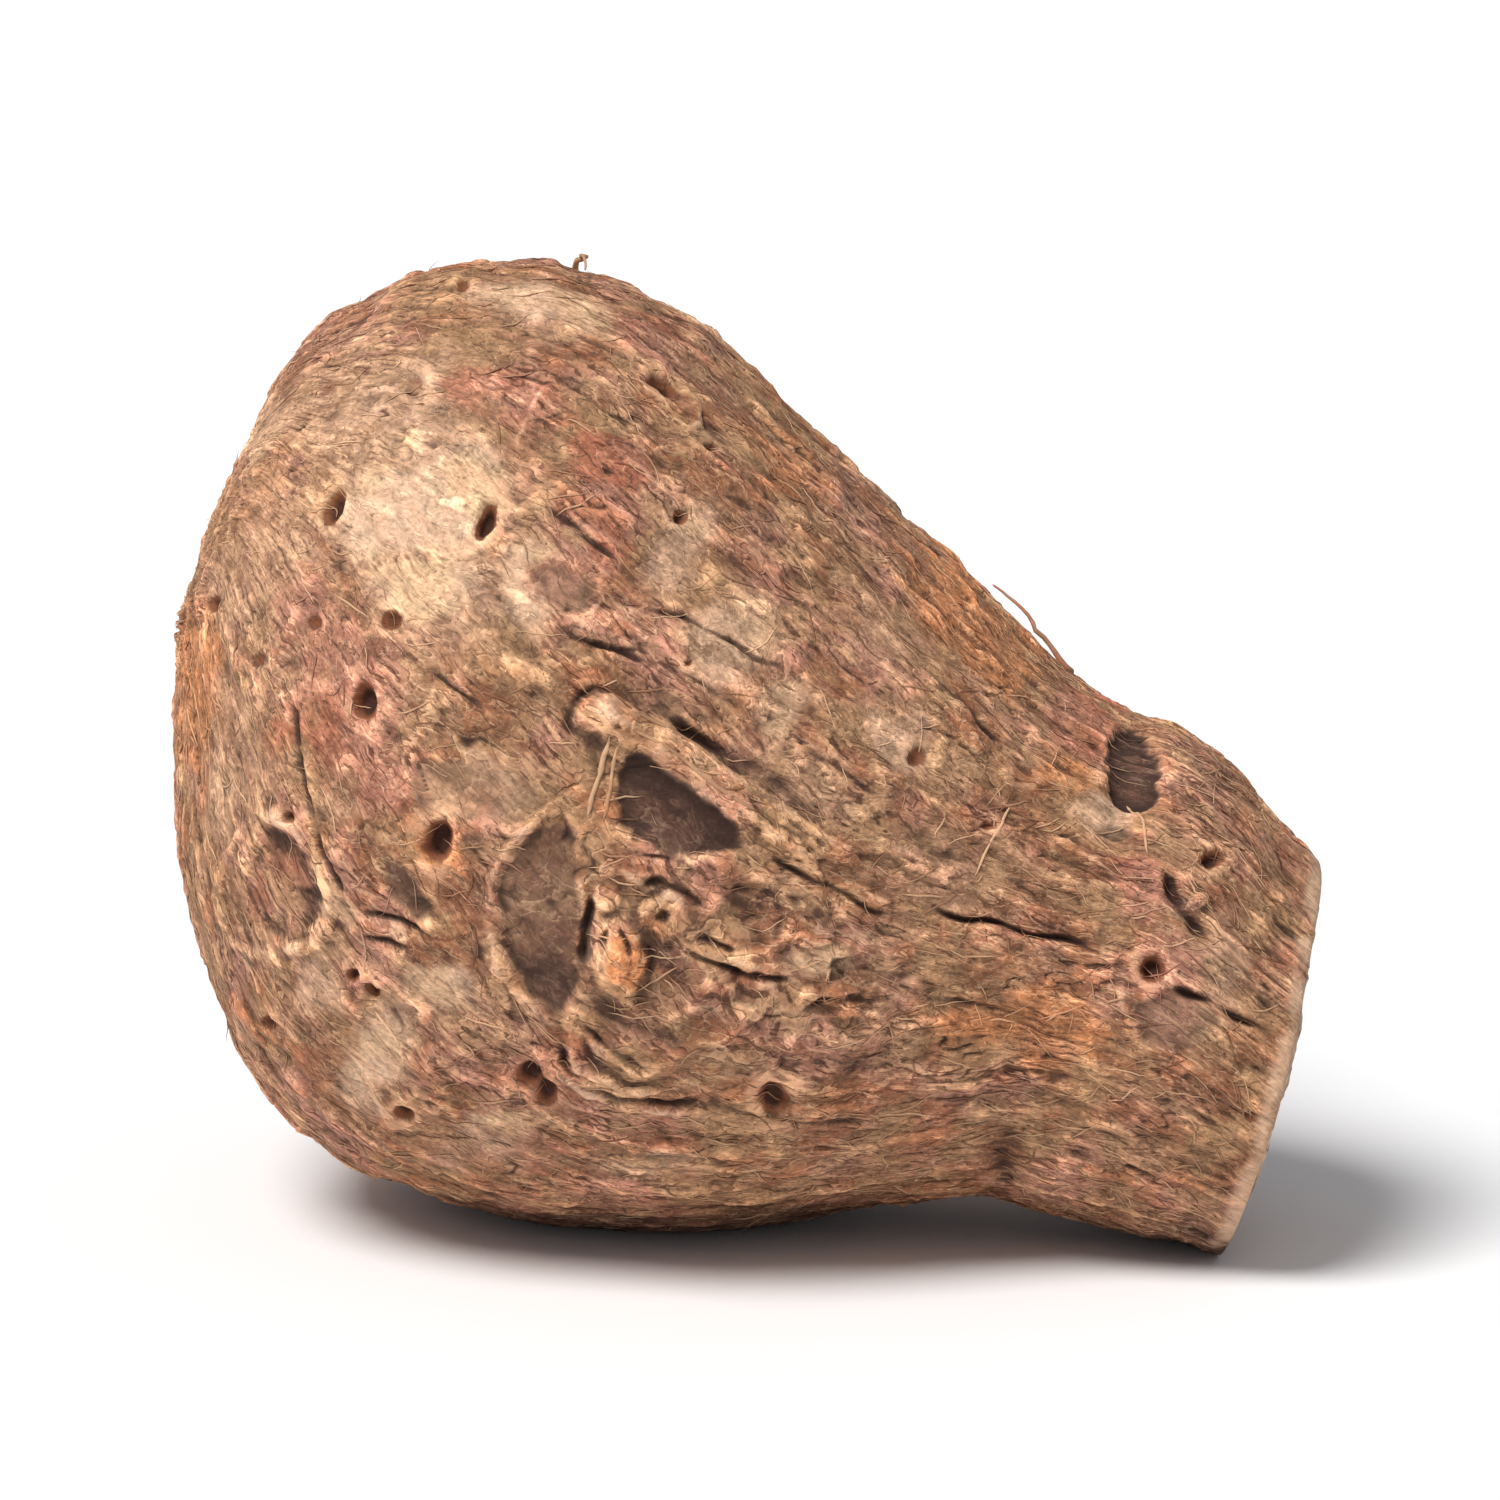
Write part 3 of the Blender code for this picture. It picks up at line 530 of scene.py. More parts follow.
def hidden_buds():
    """Flat side buds, each a sunk oval with a rim and a small tip. Also how far inside one each point is."""
    height, inside = blank(), blank()
    bent = 1.0 + 0.22 * skin_noise(2.8, 4.2) + 0.08 * skin_noise(1.0, 2.9)
    broken = np.clip(0.7 + 0.9 * skin_noise(2.4, 9.7), 0.1, 1.3)
    for share, turn_degrees, half_length, half_width in HIDDEN_BUDS:
        along, around = skin.from_spot(spot(share, math.radians(turn_degrees)))
        reach = np.hypot(along / half_length, around / half_width) * bent
        tip = np.hypot((along + 0.25 * half_length) / half_length, around / half_width) * bent
        towards_crown = 0.75 - 0.35 * np.clip(along / half_length, -1.0, 1.0)
        floor = 1.0 - smoothstep(0.6, 1.0, reach)
        height += BUD_RIM * towards_crown * broken * bell(reach - 1.1, 0.2) - BUD_SINK * floor
        height += BUD_TIP * (1.0 - smoothstep(0.05, 0.6, tip))
        inside = np.maximum(inside, floor - 1.0 + smoothstep(0.3, 0.6, tip))
    return height, np.clip(inside, 0.0, 1.0)


def past_outline(corners):
    """How far each point lies outside an outline that bulges everywhere, below 0 inside it."""
    corners = np.array(corners)
    middle = corners.mean(axis=0)
    following = np.roll(corners, -1, axis=0)
    total = blank()
    for (ax, ay), (bx, by) in zip(corners, following):
        outwards = np.array((by - ay, ax - bx)) / math.hypot(bx - ax, by - ay)
        outwards = outwards * np.sign((np.array((ax, ay)) - middle) @ outwards)
        past = (skin.across - ax) * outwards[0] + (skin.up - ay) * outwards[1]
        total += np.exp(past / CORNER_ROUNDING)
    return np.where(skin.facing < EDGE_ON, FAR_OFF, CORNER_ROUNDING * np.log(total))


def smooth_plates():
    """Of the smooth plates the height, a mask that is 1 on them, how dark each point is, and the rims."""
    height, inside, darkness, rims = (blank() for _ in range(4))
    wander = OUTLINE_WANDER * sum(share * skin_noise(spacing, 3.6) for spacing, share in OUTLINE_NOISE)
    broken = np.clip(0.7 + 0.8 * skin_noise(2.4, 8.5), 0.15, 1.0)
    for depth, dark_share, paleness, corners in SMOOTH_PLATES:
        past = past_outline(corners) + wander
        plate = 1.0 - smoothstep(-0.45, 0.15, past)
        rim = paleness * broken * bell(past - 0.32, 0.22)
        height += PLATE_RIM * rim - depth * plate
        inside = np.maximum(inside, plate)
        darkness = np.maximum(darkness, dark_share * plate)
        rims = np.maximum(rims, rim)
    return height, inside, darkness, rims


plate_height, smooth, plate_dark, plate_rim = smooth_plates()
bud_height, bud_inside = hidden_buds()
patch_height, knob_height, eye_height = patches(), knobs(), eyes()
print(len(FRONT_PATCHES), "patches,", len(FRONT_KNOBS), "knobs and", len(SMOOTH_PLATES), "plates")
print(len(FRONT_EYES), "eyes, and", len(HIDDEN_BUDS), "buds on the hidden sides")

# %% [markdown]
# As a corm dries, its skin splits. The open cracks on the front are lines through a few measured points,
# which noise makes wander. On the other sides they are drawn with a seed, and run along the corm and a
# little aslant. The same step makes the collar, where the skin of the neck ends in a broken groove.

# %% Cracks and collar
FRONT_CRACKS = (  # half width, depth, side with a lip (0 for both), then the points that each runs through
    (0.30, 0.80, 1, ((-5.3, 34.5), (-2.9, 32.9), (-0.8, 31.5))),
    (0.20, 0.40, 1, ((1.3, 25.2), (4.8, 23.0), (8.9, 21.2), (10.8, 20.5))),
    (0.20, 0.55, -1, ((12.3, 21.8), (15.8, 20.5), (20.5, 19.6), (24.9, 18.3))),
    (0.26, 0.80, 1, ((29.0, 16.3), (31.6, 14.9), (34.4, 13.4), (38.4, 11.2))),
    (0.42, 1.10, 1, ((28.9, 24.2), (29.7, 22.4), (30.6, 20.6), (32.2, 18.6))),
    (0.20, 0.35, 1, ((-14.5, 49.4), (-12.2, 48.2), (-9.8, 46.4), (-8.1, 44.9))),
    (0.20, 0.35, -1, ((-12.9, 40.4), (-9.3, 39.3), (-5.8, 38.1), (-1.1, 35.7), (2.3, 34.1))),
    (0.20, 0.35, 1, ((-8.3, 42.8), (-4.0, 41.4), (0.6, 39.0), (2.9, 37.9))),
    (0.20, 0.30, 1, ((3.6, 33.0), (7.0, 30.6), (9.6, 28.8))),
    (0.20, 0.30, -1, ((13.4, 36.8), (17.0, 33.6), (19.0, 31.9))),
    (0.20, 0.35, -1, ((-22.3, 38.3), (-20.0, 36.4), (-17.6, 35.0), (-16.4, 33.6))),
    (0.26, 0.80, 0, ((-9.6, 36.7), (-11.2, 36.2), (-12.3, 34.5), (-12.0, 32.9))),  # round the bundle's end
    (0.20, 0.42, 0,
     ((-31.1, 37.0), (-30.7, 33.4), (-30.1, 29.7), (-29.1, 25.6), (-27.9, 22.9), (-27.4, 21.3))),
    (0.20, 0.50, -1, ((-27.5, 21.8), (-25.1, 20.8), (-23.1, 19.8), (-20.6, 18.8))),
    (0.20, 0.35, -1, ((-26.8, 19.6), (-24.6, 18.9), (-22.6, 17.6))),
    (0.22, 0.60, -1, ((-13.0, 12.5), (-12.5, 10.8), (-11.0, 9.25), (-8.5, 8.2), (-5.4, 7.7), (-2.7, 7.5))),
    (0.22, 0.55, -1, ((-11.5, 12.5), (-10.2, 10.5), (-8.0, 9.5), (-5.9, 9.25))),
    (0.22, 0.50, -1, ((-11.7, 13.6), (-9.7, 11.9), (-7.2, 10.9), (-5.4, 10.2))),
    (0.20, 0.60, 1, ((-4.7, 18.6), (-2.2, 17.6), (0.4, 16.8), (3.6, 16.6))),
    (0.20, 0.45, 1, ((-3.9, 19.6), (-1.9, 18.9), (-0.6, 18.4))),
    (0.20, 0.40, 1, ((-8.2, 25.4), (-5.9, 24.9), (-3.9, 23.9), (-2.7, 22.9))),
    (0.20, 0.40, 1, ((-7.7, 22.5), (-5.9, 23.2), (-3.9, 22.1), (-2.9, 21.0))),
    (0.34, 1.00, 0,  # between the long scar and the small bud
     ((-10.6, 23.4), (-11.0, 19.6), (-11.2, 16.9))),
    (0.20, 0.55, 0, ((-8.7, 20.6), (-9.8, 19.2), (-9.9, 17.4), (-8.9, 16.0))),
    (0.20, 0.50, 0, ((-8.7, 20.6), (-7.9, 19.0), (-7.9, 17.4), (-8.7, 16.2))),
    (0.22, 0.60, 0, ((-7.0, 19.2), (-6.2, 18.2), (-6.6, 16.4))),
    (0.20, 0.40, -1, ((-6.9, 57.9), (-5.6, 57.2), (-4.3, 56.2))),
    (0.20, 0.30, 1, ((3.2, 13.6), (5.2, 14.8), (8.2, 15.1), (10.8, 14.6))),
    (0.20, 0.25, -1, ((-24.6, 14.4), (-23.4, 12.6))),
)
FRONT_RIDGES = (  # half width, height, paleness, then the points that each runs through
    (0.60, 0.60, 0.75,
     ((-34.2, 27.9), (-32.0, 27.5), (-30.1, 25.3), (-29.0, 22.2), (-29.0, 19.7), (-30.6, 18.5),
      (-33.0, 18.8))),
    (0.30, 0.30, 0.3, ((-33.6, 28.0), (-35.6, 25.5), (-36.2, 22.3), (-35.4, 19.2), (-33.0, 17.6))),
    (0.28, 0.35, 0.8, ((-7.0, 19.6), (-6.7, 21.4), (-5.4, 22.4), (-4.3, 21.6), (-4.4, 20.3))),
    (0.24, 0.32, 0.8, ((-11.0, 12.7), (-9.0, 11.4), (-6.6, 10.6), (-4.4, 10.2))),
    (0.24, 0.32, 0.8, ((-13.6, 11.4), (-12.4, 9.6), (-9.8, 8.2), (-6.4, 7.3), (-3.0, 6.9))),
    (0.26, 0.28, 0.7,
     ((-12.9, 28.6), (-15.9, 26.3), (-17.6, 23.0), (-17.8, 19.5), (-16.5, 15.9), (-14.3, 13.5))),
    (0.20, 0.20, 0.6, ((-12.7, 28.6), (-15.6, 26.7), (-17.8, 26.6))),
    (0.20, 0.18, 0.6, ((-16.2, 52.4), (-15.2, 54.9), (-14.0, 57.0), (-12.6, 57.7))),
    (0.22, 0.22, 0.6, ((-3.7, 56.8), (-3.4, 54.9), (-4.7, 53.2))),
    (0.20, 0.18, 0.6, ((25.3, 18.6), (26.5, 14.2), (27.8, 11.0))),
    (0.22, 0.22, 0.8, ((-27.4, 11.4), (-25.8, 8.8), (-24.2, 6.0))),
    (0.22, 0.25, 0.6, ((-9.0, 24.2), (-7.4, 23.2), (-6.4, 22.2))),
    (0.36, 0.50, 0.60, ((-11.7, 35.8), (-9.4, 34.6), (-6.2, 32.6), (-2.4, 29.9), (1.2, 27.0), (5.2, 24.2))),
    (0.32, 0.45, 0.50, ((-10.9, 36.6), (-8.6, 35.4), (-5.0, 33.4), (-1.4, 30.9), (3.0, 27.7), (7.6, 24.8))),
    (0.32, 0.42, 0.50, ((-11.9, 34.6), (-9.2, 33.4), (-5.4, 31.2), (-1.4, 28.0), (1.0, 25.9))),
    (0.25, 0.36, 0.85, ((-12.3, 12.9), (-11.9, 10.9), (-10.5, 9.7), (-8.2, 8.8), (-5.2, 8.4))),
    (0.24, 0.34, 0.8, ((-11.0, 13.6), (-9.9, 11.4), (-7.6, 10.3), (-5.2, 9.8))),
    (0.22, 0.26, 0.8, ((-4.9, 19.2), (-2.2, 18.1), (0.2, 17.4), (3.6, 17.1))),
    (0.20, 0.22, 0.6, ((-8.6, 25.9), (-5.9, 25.5), (-3.9, 24.5), (-2.2, 23.0))),
    (0.20, 0.22, 0.6, ((-7.9, 23.2), (-5.9, 23.9), (-3.7, 22.8), (-2.6, 21.4))),
    (0.20, 0.20, 0.4, ((-24.4, 39.1), (-21.4, 37.5), (-18.9, 36.1), (-16.4, 33.6))),
    (0.18, 0.14, 0.7, ((-15.4, 46.4), (-14.6, 43.3), (-12.9, 41.1), (-11.4, 40.8))),
    (0.18, 0.14, 0.5, ((-10.2, 44.6), (-9.9, 42.4), (-11.4, 40.9))),
    (0.22, 0.22, 0.4, ((2.8, 13.4), (5.0, 15.2), (8.2, 15.6), (11.4, 14.8))),
    (0.26, 0.30, 0.40, ((-9.0, 35.0), (-5.6, 33.0), (-1.8, 30.5), (2.2, 27.5), (6.4, 24.6))),
    (0.24, 0.28, 0.40, ((-8.4, 33.4), (-5.0, 31.3), (-1.6, 28.7), (1.4, 26.4))),
    (0.18, 0.16, 0.4, ((8.6, 40.0), (13.6, 36.0), (17.4, 32.4))),
    (0.18, 0.16, 0.5, ((20.6, 26.6), (24.6, 24.6), (26.8, 22.6))),
)
CRACK_WANDER = 0.5  # how far noise moves a crack aside
CRACK_WANDER_SPACING = 3.2
CRACK_LIP = 0.42  # the lip's height, as a share of the crack's depth
CRACK_FALL = 1.3  # how far a crack's lip takes to fall off
ROUTE_FADE = 2.2  # how far from its end a line starts to fade
CRACKS_ELSEWHERE = 13
CRACK_LENGTHS = (5.0, 13.0)
CRACK_HALF_WIDTH = 0.22
CRACK_DEPTH = 0.55
CRACK_SLANT = 0.35
COLLAR = 0.84  # the share of the skin's length at which the collar starts
COLLAR_GROOVE = 0.42
COLLAR_SWELL = 0.5
COLLAR_WAVE = 1.5


def crack_shape(aside, half_width, depth, lip_side):
    """A crack's section: a slit with a lip on one side or both. aside is how far off its middle line."""
    nearest = np.abs(aside)
    lips = smoothstep(0.6 * half_width, 2.2 * half_width, nearest) * np.exp(-nearest / CRACK_FALL)
    if lip_side:
        lips = lips * (np.sign(aside) == lip_side)
    else:
        lips = 0.6 * lips
    return CRACK_LIP * depth * lips - depth * bell(nearest, half_width)


def seen_route(route, seen_across, seen_up):
    """How far each point is from a line through the route's points, and a mask that fades at the line's ends.

    The distance is above 0 on the line's left and below 0 on its right.
    """
    nearest, passed = np.full(skin.share.shape, FAR_OFF), blank()
    lengths = [math.dist(first, second) for first, second in zip(route, route[1:])]
    before = 0.0
    for (ax, ay), (bx, by), length in zip(route, route[1:], lengths):
        dx, dy = seen_across - ax, seen_up - ay
        on_line = np.clip((dx * (bx - ax) + dy * (by - ay)) / length**2, 0.0, 1.0)
        miss = np.hypot(dx - on_line * (bx - ax), dy - on_line * (by - ay))
        side = np.where((bx - ax) * dy - (by - ay) * dx > 0.0, 1.0, -1.0)
        closer = miss < np.abs(nearest)
        nearest = np.where(closer, miss * side, nearest)
        passed = np.where(closer, before + on_line * length, passed)
        before += length
    fade = min(ROUTE_FADE, 0.3 * before)
    inner = smoothstep(0.0, fade, passed) * (1.0 - smoothstep(before - fade, before, passed))
    return np.where(skin.facing < EDGE_ON, FAR_OFF, nearest), inner


def ridges():
    """The height of the raised lines, and how much each point is on one, from 0 to 1."""
    height, on_one = blank(), blank()
    bends = [0.3 * skin_noise(2.2, shift) + 0.2 * skin_noise(0.9, shift) for shift in (3.1, 6.4)]
    seen_across, seen_up = skin.across + bends[0], skin.up + bends[1]
    uneven = np.clip(0.8 + 0.6 * skin_noise(1.6, 4.9) + 0.4 * skin_noise(0.8, 4.9), 0.2, 1.4)
    for half_width, tall, paleness, route in FRONT_RIDGES:
        aside, inner = seen_route(route, seen_across, seen_up)
        shape = bell(aside, half_width) * uneven * inner
        height += tall * shape
        on_one = np.maximum(on_one, shape * paleness)
    return height, np.clip(on_one, 0.0, 1.0)


def cracks():
    """The height that all cracks add, and how deep in one each point lies, from 0 to 1."""
    height, inside = blank(), blank()
    seen_across = skin.across + CRACK_WANDER * skin_noise(CRACK_WANDER_SPACING, 9.1)
    seen_up = skin.up + CRACK_WANDER * skin_noise(CRACK_WANDER_SPACING, 2.6)
    wander = CRACK_WANDER * skin_noise(CRACK_WANDER_SPACING, 4.7)
    made = []
    for half_width, depth, lip_side, route in FRONT_CRACKS:
        aside, inner = seen_route(route, seen_across, seen_up)
        made.append((aside, inner, half_width, depth, lip_side))
    draw = random.Random(SEED + 1)
    taken = [centre[0] for centre, _, _ in eye_spots]
    wanted = len(taken) + CRACKS_ELSEWHERE
    while len(taken) < wanted:
        centre = spot(draw.uniform(0.15, 0.92), draw.uniform(0.0, 2.0 * math.pi))
        half_length = draw.uniform(*CRACK_LENGTHS) / 2.0
        slant = draw.uniform(-CRACK_SLANT, CRACK_SLANT)
        nearest = min(np.linalg.norm(centre[0] - other) for other in taken)
        if centre[1] @ TO_EYE > HIDDEN or centre[0][2] < 2.0 * REST_SMOOTH or nearest < MARK_REACH:
            continue
        taken.append(centre[0])
        along, around = skin.from_spot(centre)
        inner = 1.0 - smoothstep(0.5 * half_length, half_length, np.abs(along))
        aside = around + slant * along + wander
        made.append((aside, inner, CRACK_HALF_WIDTH, CRACK_DEPTH, draw.choice((-1, 1))))
    uneven = np.clip(0.75 + 0.9 * skin_noise(2.4, 5.2), 0.15, 1.2)
    for aside, inner, half_width, depth, lip_side in made:
        height += crack_shape(aside, half_width, depth, lip_side) * inner * uneven
        inside = np.maximum(inside, bell(aside, half_width) * inner * uneven * min(1.0, 0.45 + depth))
    return height, np.clip(inside, 0.0, 1.0)


def collar():
    """A broken groove at the collar's foot, then a swelling that is lost again before the cut."""
    wave = COLLAR_WAVE * skin_noise(9.0, 4.4)
    past_foot = skin.distance[:, None] + wave - SKIN_LENGTH * COLLAR
    broken = smoothstep(-0.35, 0.35, skin_noise(8.0, 6.6))
    groove = -COLLAR_GROOVE * broken * bell(past_foot, 1.1)
    swelling = COLLAR_SWELL * smoothstep(-0.5, 4.0, past_foot) * (1.0 - smoothstep(8.0, 15.0, past_foot))
    return groove + swelling


crack_height, crack_inside = cracks()
ridge_height, on_ridge = ridges()
on_ridge = np.maximum(on_ridge, 0.8 * plate_rim)
collar_height = collar()
print(len(FRONT_CRACKS) + CRACKS_ELSEWHERE, "cracks, the deepest", round(float(-crack_height.min()), 2), "mm")

# %% [markdown]
# The skin's look hangs on where the cork still covers it. Brown cork lies over a paler, smoother skin, and
# rubbing has peeled it in patches: cream by the crown and the top, grey-tan lower down. Other patches are
# reddish, orange or dark. On the front each patch is placed one by one, as an oval of a few millimetres.
# Noise breaks its edge later, and gives the other sides patches of the same kinds.

# %% Where the skin is bare, red, orange or dark, and where shade is painted
BARE_FRONT = (  # across, up, half width, half height, lean in degrees, strength
    (-20.8, 15.6, 3.6, 1.7, -15, 0.8),
    (-23.5, 49.0, 7.2, 4.2, 0, 1.0),
    (-33.6, 18.0, 1.4, 1.0, 0, 0.6),
    (-16.6, 6.4, 2.8, 1.3, 0, 0.8),
    (-25.6, 11.2, 2.6, 4.6, -20, 1.0),
    (-33.2, 54.4, 1.6, 4.0, -35, 0.6),
    (-10.0, 34.5, 2.2, 1.5, -35, 0.6),
    (-24.0, 55.0, 10.5, 7.5, 0, 0.58),
    (-35.0, 33.0, 3.0, 9.0, 0, 0.40),
    (3.5, 30.5, 5.5, 3.6, -35, 0.40),
    (14.0, 23.5, 7.5, 4.0, -20, 0.38),
    (9.0, 40.0, 5.5, 4.0, -42, 0.38),
    (-27.6, 28.6, 1.6, 1.4, 0, 0.4),
    (-33.0, 46.0, 5.0, 11.0, -20, 0.42),
    (-20.0, 44.0, 9.0, 6.0, 0, 0.5),
    (-28.6, 22.6, 0.9, 3.2, 10, 0.6),
    (-31.0, 18.6, 2.6, 1.0, 0, 0.6),
    (-31.6, 27.3, 2.4, 1.2, -20, 0.7),
    (-25.7, 47.9, 3.2, 3.0, 0, 1.0),
    (-19.8, 49.2, 4.2, 5.6, 10, 1.0),
    (-22.4, 43.4, 5.6, 2.9, 0, 0.95),
    (-14.8, 43.8, 2.6, 4.4, 0, 0.9),
    (-15.0, 62.6, 4.6, 2.3, -15, 0.8),
    (-11.0, 61.5, 3.0, 1.8, -30, 0.7),
    (-4.2, 46.6, 3.0, 4.9, -38, 0.62),
    (-1.4, 40.0, 4.4, 4.6, -40, 0.75),
    (2.6, 35.0, 2.8, 3.2, -40, 0.65),
    (-17.4, 30.4, 4.2, 2.0, 0, 0.4),
    (-25.3, 11.5, 3.4, 5.6, -20, 0.72),
    (-29.1, 16.1, 2.3, 2.8, 0, 0.6),
    (10.4, 32.8, 3.4, 2.3, -35, 0.7),
    (24.6, 27.5, 2.8, 2.4, 0, 0.8),
    (-17.7, 4.8, 4.8, 2.1, 0, 0.6),
    (-6.3, 2.9, 5.7, 1.7, 0, 0.6),
    (5.1, 17.2, 3.4, 1.9, -15, 0.6),
    (32.9, 17.6, 3.0, 5.2, 0, 0.5),
    (-36.0, 28.5, 1.8, 5.0, 0, 0.5),
)
RED_FRONT = (
    (-27.2, 35.4, 5.4, 7.6, 0, 0.8),
    (-25.2, 31.6, 2.7, 4.8, 0, 1.0),
    (-30.0, 41.0, 3.8, 4.0, 0, 0.7),
    (-17.5, 57.0, 4.8, 3.2, 0, 0.75),
    (-10.0, 45.7, 2.8, 2.6, 0, 0.7),
    (-6.3, 60.2, 5.0, 2.1, -35, 0.8),
    (-9.8, 52.3, 3.4, 2.8, 0, 0.9),
    (23.4, 34.2, 3.2, 3.0, -40, 1.0),
    (27.6, 22.6, 1.9, 3.6, 10, 0.9),
    (28.9, 17.2, 3.0, 3.0, 0, 0.9),
    (-6.3, 5.8, 3.8, 1.7, 0, 0.5),
    (-12.6, 43.6, 2.4, 2.2, 0, 0.9),
    (29.6, 13.7, 2.8, 1.8, 0, 1.0),
    (-13.9, 3.9, 3.2, 1.6, 0, 0.5),
    (-31.2, 24.8, 2.2, 3.6, 10, 0.7),
    (20.5, 24.0, 3.0, 2.0, -30, 0.5),
)
ORANGE_FRONT = (
    (-8.4, 18.0, 2.0, 3.6, 0, 0.6),
    (-6.2, 20.5, 1.5, 1.6, 0, 0.5),
    (-16.9, 46.6, 0.9, 2.2, -20, 1.0),
    (-37.6, 36.4, 2.0, 8.6, 0, 0.8),
    (15.5, 41.0, 8.6, 3.0, -44, 0.8),
    (3.0, 52.0, 7.0, 2.6, -44, 0.5),
    (16.5, 13.4, 3.8, 2.4, 0, 0.7),
    (21.3, 13.4, 5.0, 4.0, -10, 0.8),
    (-33.0, 50.0, 2.4, 5.0, -25, 0.5),
    (-20.6, 25.4, 3.0, 3.0, 0, 0.5),
    (22.0, 30.5, 3.6, 2.4, -35, 0.7),
)
# Dark patches of the skin, and broad faint ones low on the front and on its right that are painted shade.
DARK_AND_SHADED_FRONT = (
    (-13.2, 16.6, 2.0, 3.0, -10, 0.95),
    (-2.9, 24.7, 2.4, 1.2, -20, 0.6),
    (-5.2, 17.6, 1.4, 2.6, 0, 0.7),
    (-11.9, 25.6, 1.2, 3.0, 0, 0.4),
    # The next five rows are painted shade on the lower side and on the right, away from the light.
    (14.0, 4.0, 9.0, 2.2, 0, 0.45),
    (32.5, 18.0, 6.0, 11.0, 0, 0.36),
    (30.0, 7.0, 6.0, 5.0, 0, 0.34),
    (17.0, 9.5, 8.0, 5.0, 0, 0.26),
    (-24.5, 16.0, 4.5, 4.5, 0, 0.26),
    (33.0, 29.5, 4.5, 2.6, -40, 0.55),
    (30.2, 20.6, 1.7, 2.6, 30, 0.75),
    (-19.5, 18.2, 1.8, 1.0, -30, 0.6),
    (-14.0, 9.0, 2.2, 1.4, -20, 0.6),
    (2.1, 7.9, 2.2, 2.0, 0, 0.45),
    # painted shade low on the right
    (33.5, 9.0, 3.5, 5.0, 0, 0.35),
)
PATCH_WANDER = 1.3  # how far noise moves a patch's edge
SOIL_AND_SHADE_UP_TO = 7.5  # soil and painted contact shade darken the skin up to this height above the ground


def seen_mask(rows):
    """How strongly each point lies in one of the ovals, 1 in their middles and 0 outside."""
    mask = blank()
    moved = np.stack([skin_noise(4.2, shift) for shift in (1.9, 8.8)])
    for across, up, half_width, half_height, lean, strength in rows:
        wide, high = skin.seen_place(across, up, half_width, half_height, lean)
        wide = wide + PATCH_WANDER * moved[0] / half_width
        high = high + PATCH_WANDER * moved[1] / half_height
        mask = np.maximum(mask, strength * (1.0 - smoothstep(0.35, 1.25, np.hypot(wide, high))))
    return mask


on_front = smoothstep(-0.05, 0.25, skin.facing)
off_front = 1.0 - on_front


def patches_elsewhere(spacing, least, most, shift):
    """Patches of the same kind on the sides that the front view doesn't show."""
    return smoothstep(least, most, skin_noise(spacing, shift)) * off_front


bare = np.maximum(seen_mask(BARE_FRONT), 0.85 * patches_elsewhere(12.0, 0.16, 0.62, 3.7))
red = np.maximum(seen_mask(RED_FRONT), 0.8 * patches_elsewhere(14.0, 0.10, 0.60, 8.2))
orange = np.maximum(seen_mask(ORANGE_FRONT), 0.7 * patches_elsewhere(16.0, 0.05, 0.60, 5.4))
dark = np.maximum(seen_mask(DARK_AND_SHADED_FRONT), 0.75 * patches_elsewhere(11.0, 0.22, 0.70, 6.9))
dark = np.maximum(np.maximum(dark, plate_dark), 0.5 * bud_inside)
# Near the ground the skin is darkened: partly soil and partly painted contact shade.
near_ground = 1.0 - smoothstep(0.5, SOIL_AND_SHADE_UP_TO, skin.points[..., 2] + 1.5 * skin_noise(3.0, 6.2))
dark = np.maximum(dark, 0.9 * near_ground)
tints = {"bare": bare, "red": red, "orange": orange, "dark": dark}
for name, mask in tints.items():
    print(name, "covers", round(float((mask > 0.5).mean()) * 100.0), "% of the grid")

# %% [markdown]
# Up to here the form is close to the solid's. What follows is finer than a solid can carry: fibres that
# stand out as ridges along the corm, thin edges where a layer of cork ends, short slits, and the crumbs of
# cork between them. A bump map could fake all of it, but it would vanish at the outline and in grazing
# light, so only what is finer than a quarter of a millimetre is left to the material.

# %% Fine relief of the skin
FIBRE_RIDGES = ((8.0, 0.95, 0.08), (3.4, 0.5, 0.04))  # length, width, height
SHEETS = ((11.0, 3.0, 3.4, 0.10), (4.5, 1.6, 2.4, 0.05))  # length, width, levels in a unit of noise, height
SHEET_RISE = 0.22  # the share of a sheet's level over which its edge rises
SHEET_FALL = 0.35  # how much of its height a sheet loses before the next one starts
CORK_STEP = 0.09  # thickness of the layer of cork that has peeled off in patches
CRUMBS = ((1.7, 0.05), (0.75, 0.05))  # spacing and height of the cork's crumbs
SLIT_DEPTH = 0.16
FINE_ON_BARE = 0.45  # the share of ridges and sheets that is left where the cork has peeled
CRUMBS_ON_BARE = 0.4  # and of the crumbs
FINE_CALMED = 0.35  # the share that is gone on smooth plates, and again on bare or red skin


def cork_left():
    """1 where cork still covers the skin and 0 where it has peeled, with ragged edges along the corm."""
    field = along_grain(8.0, 3.4, 1.7) + 0.5 * along_grain(2.6, 1.1, 4.1) + 0.25 * along_grain(1.1, 0.45, 7.3)
    return smoothstep(-0.05, 0.05, field + 0.42 - 1.15 * bare)


def fibre_ridges():
    """Ridges of fibre along the corm, in a coarse size and a fine one."""
    height = blank()
    for number, (length, width, tall) in enumerate(FIBRE_RIDGES):
        height += tall * (1.0 - 2.0 * np.abs(along_grain(length, width, 3.3 + 2.7 * number)))
    return height


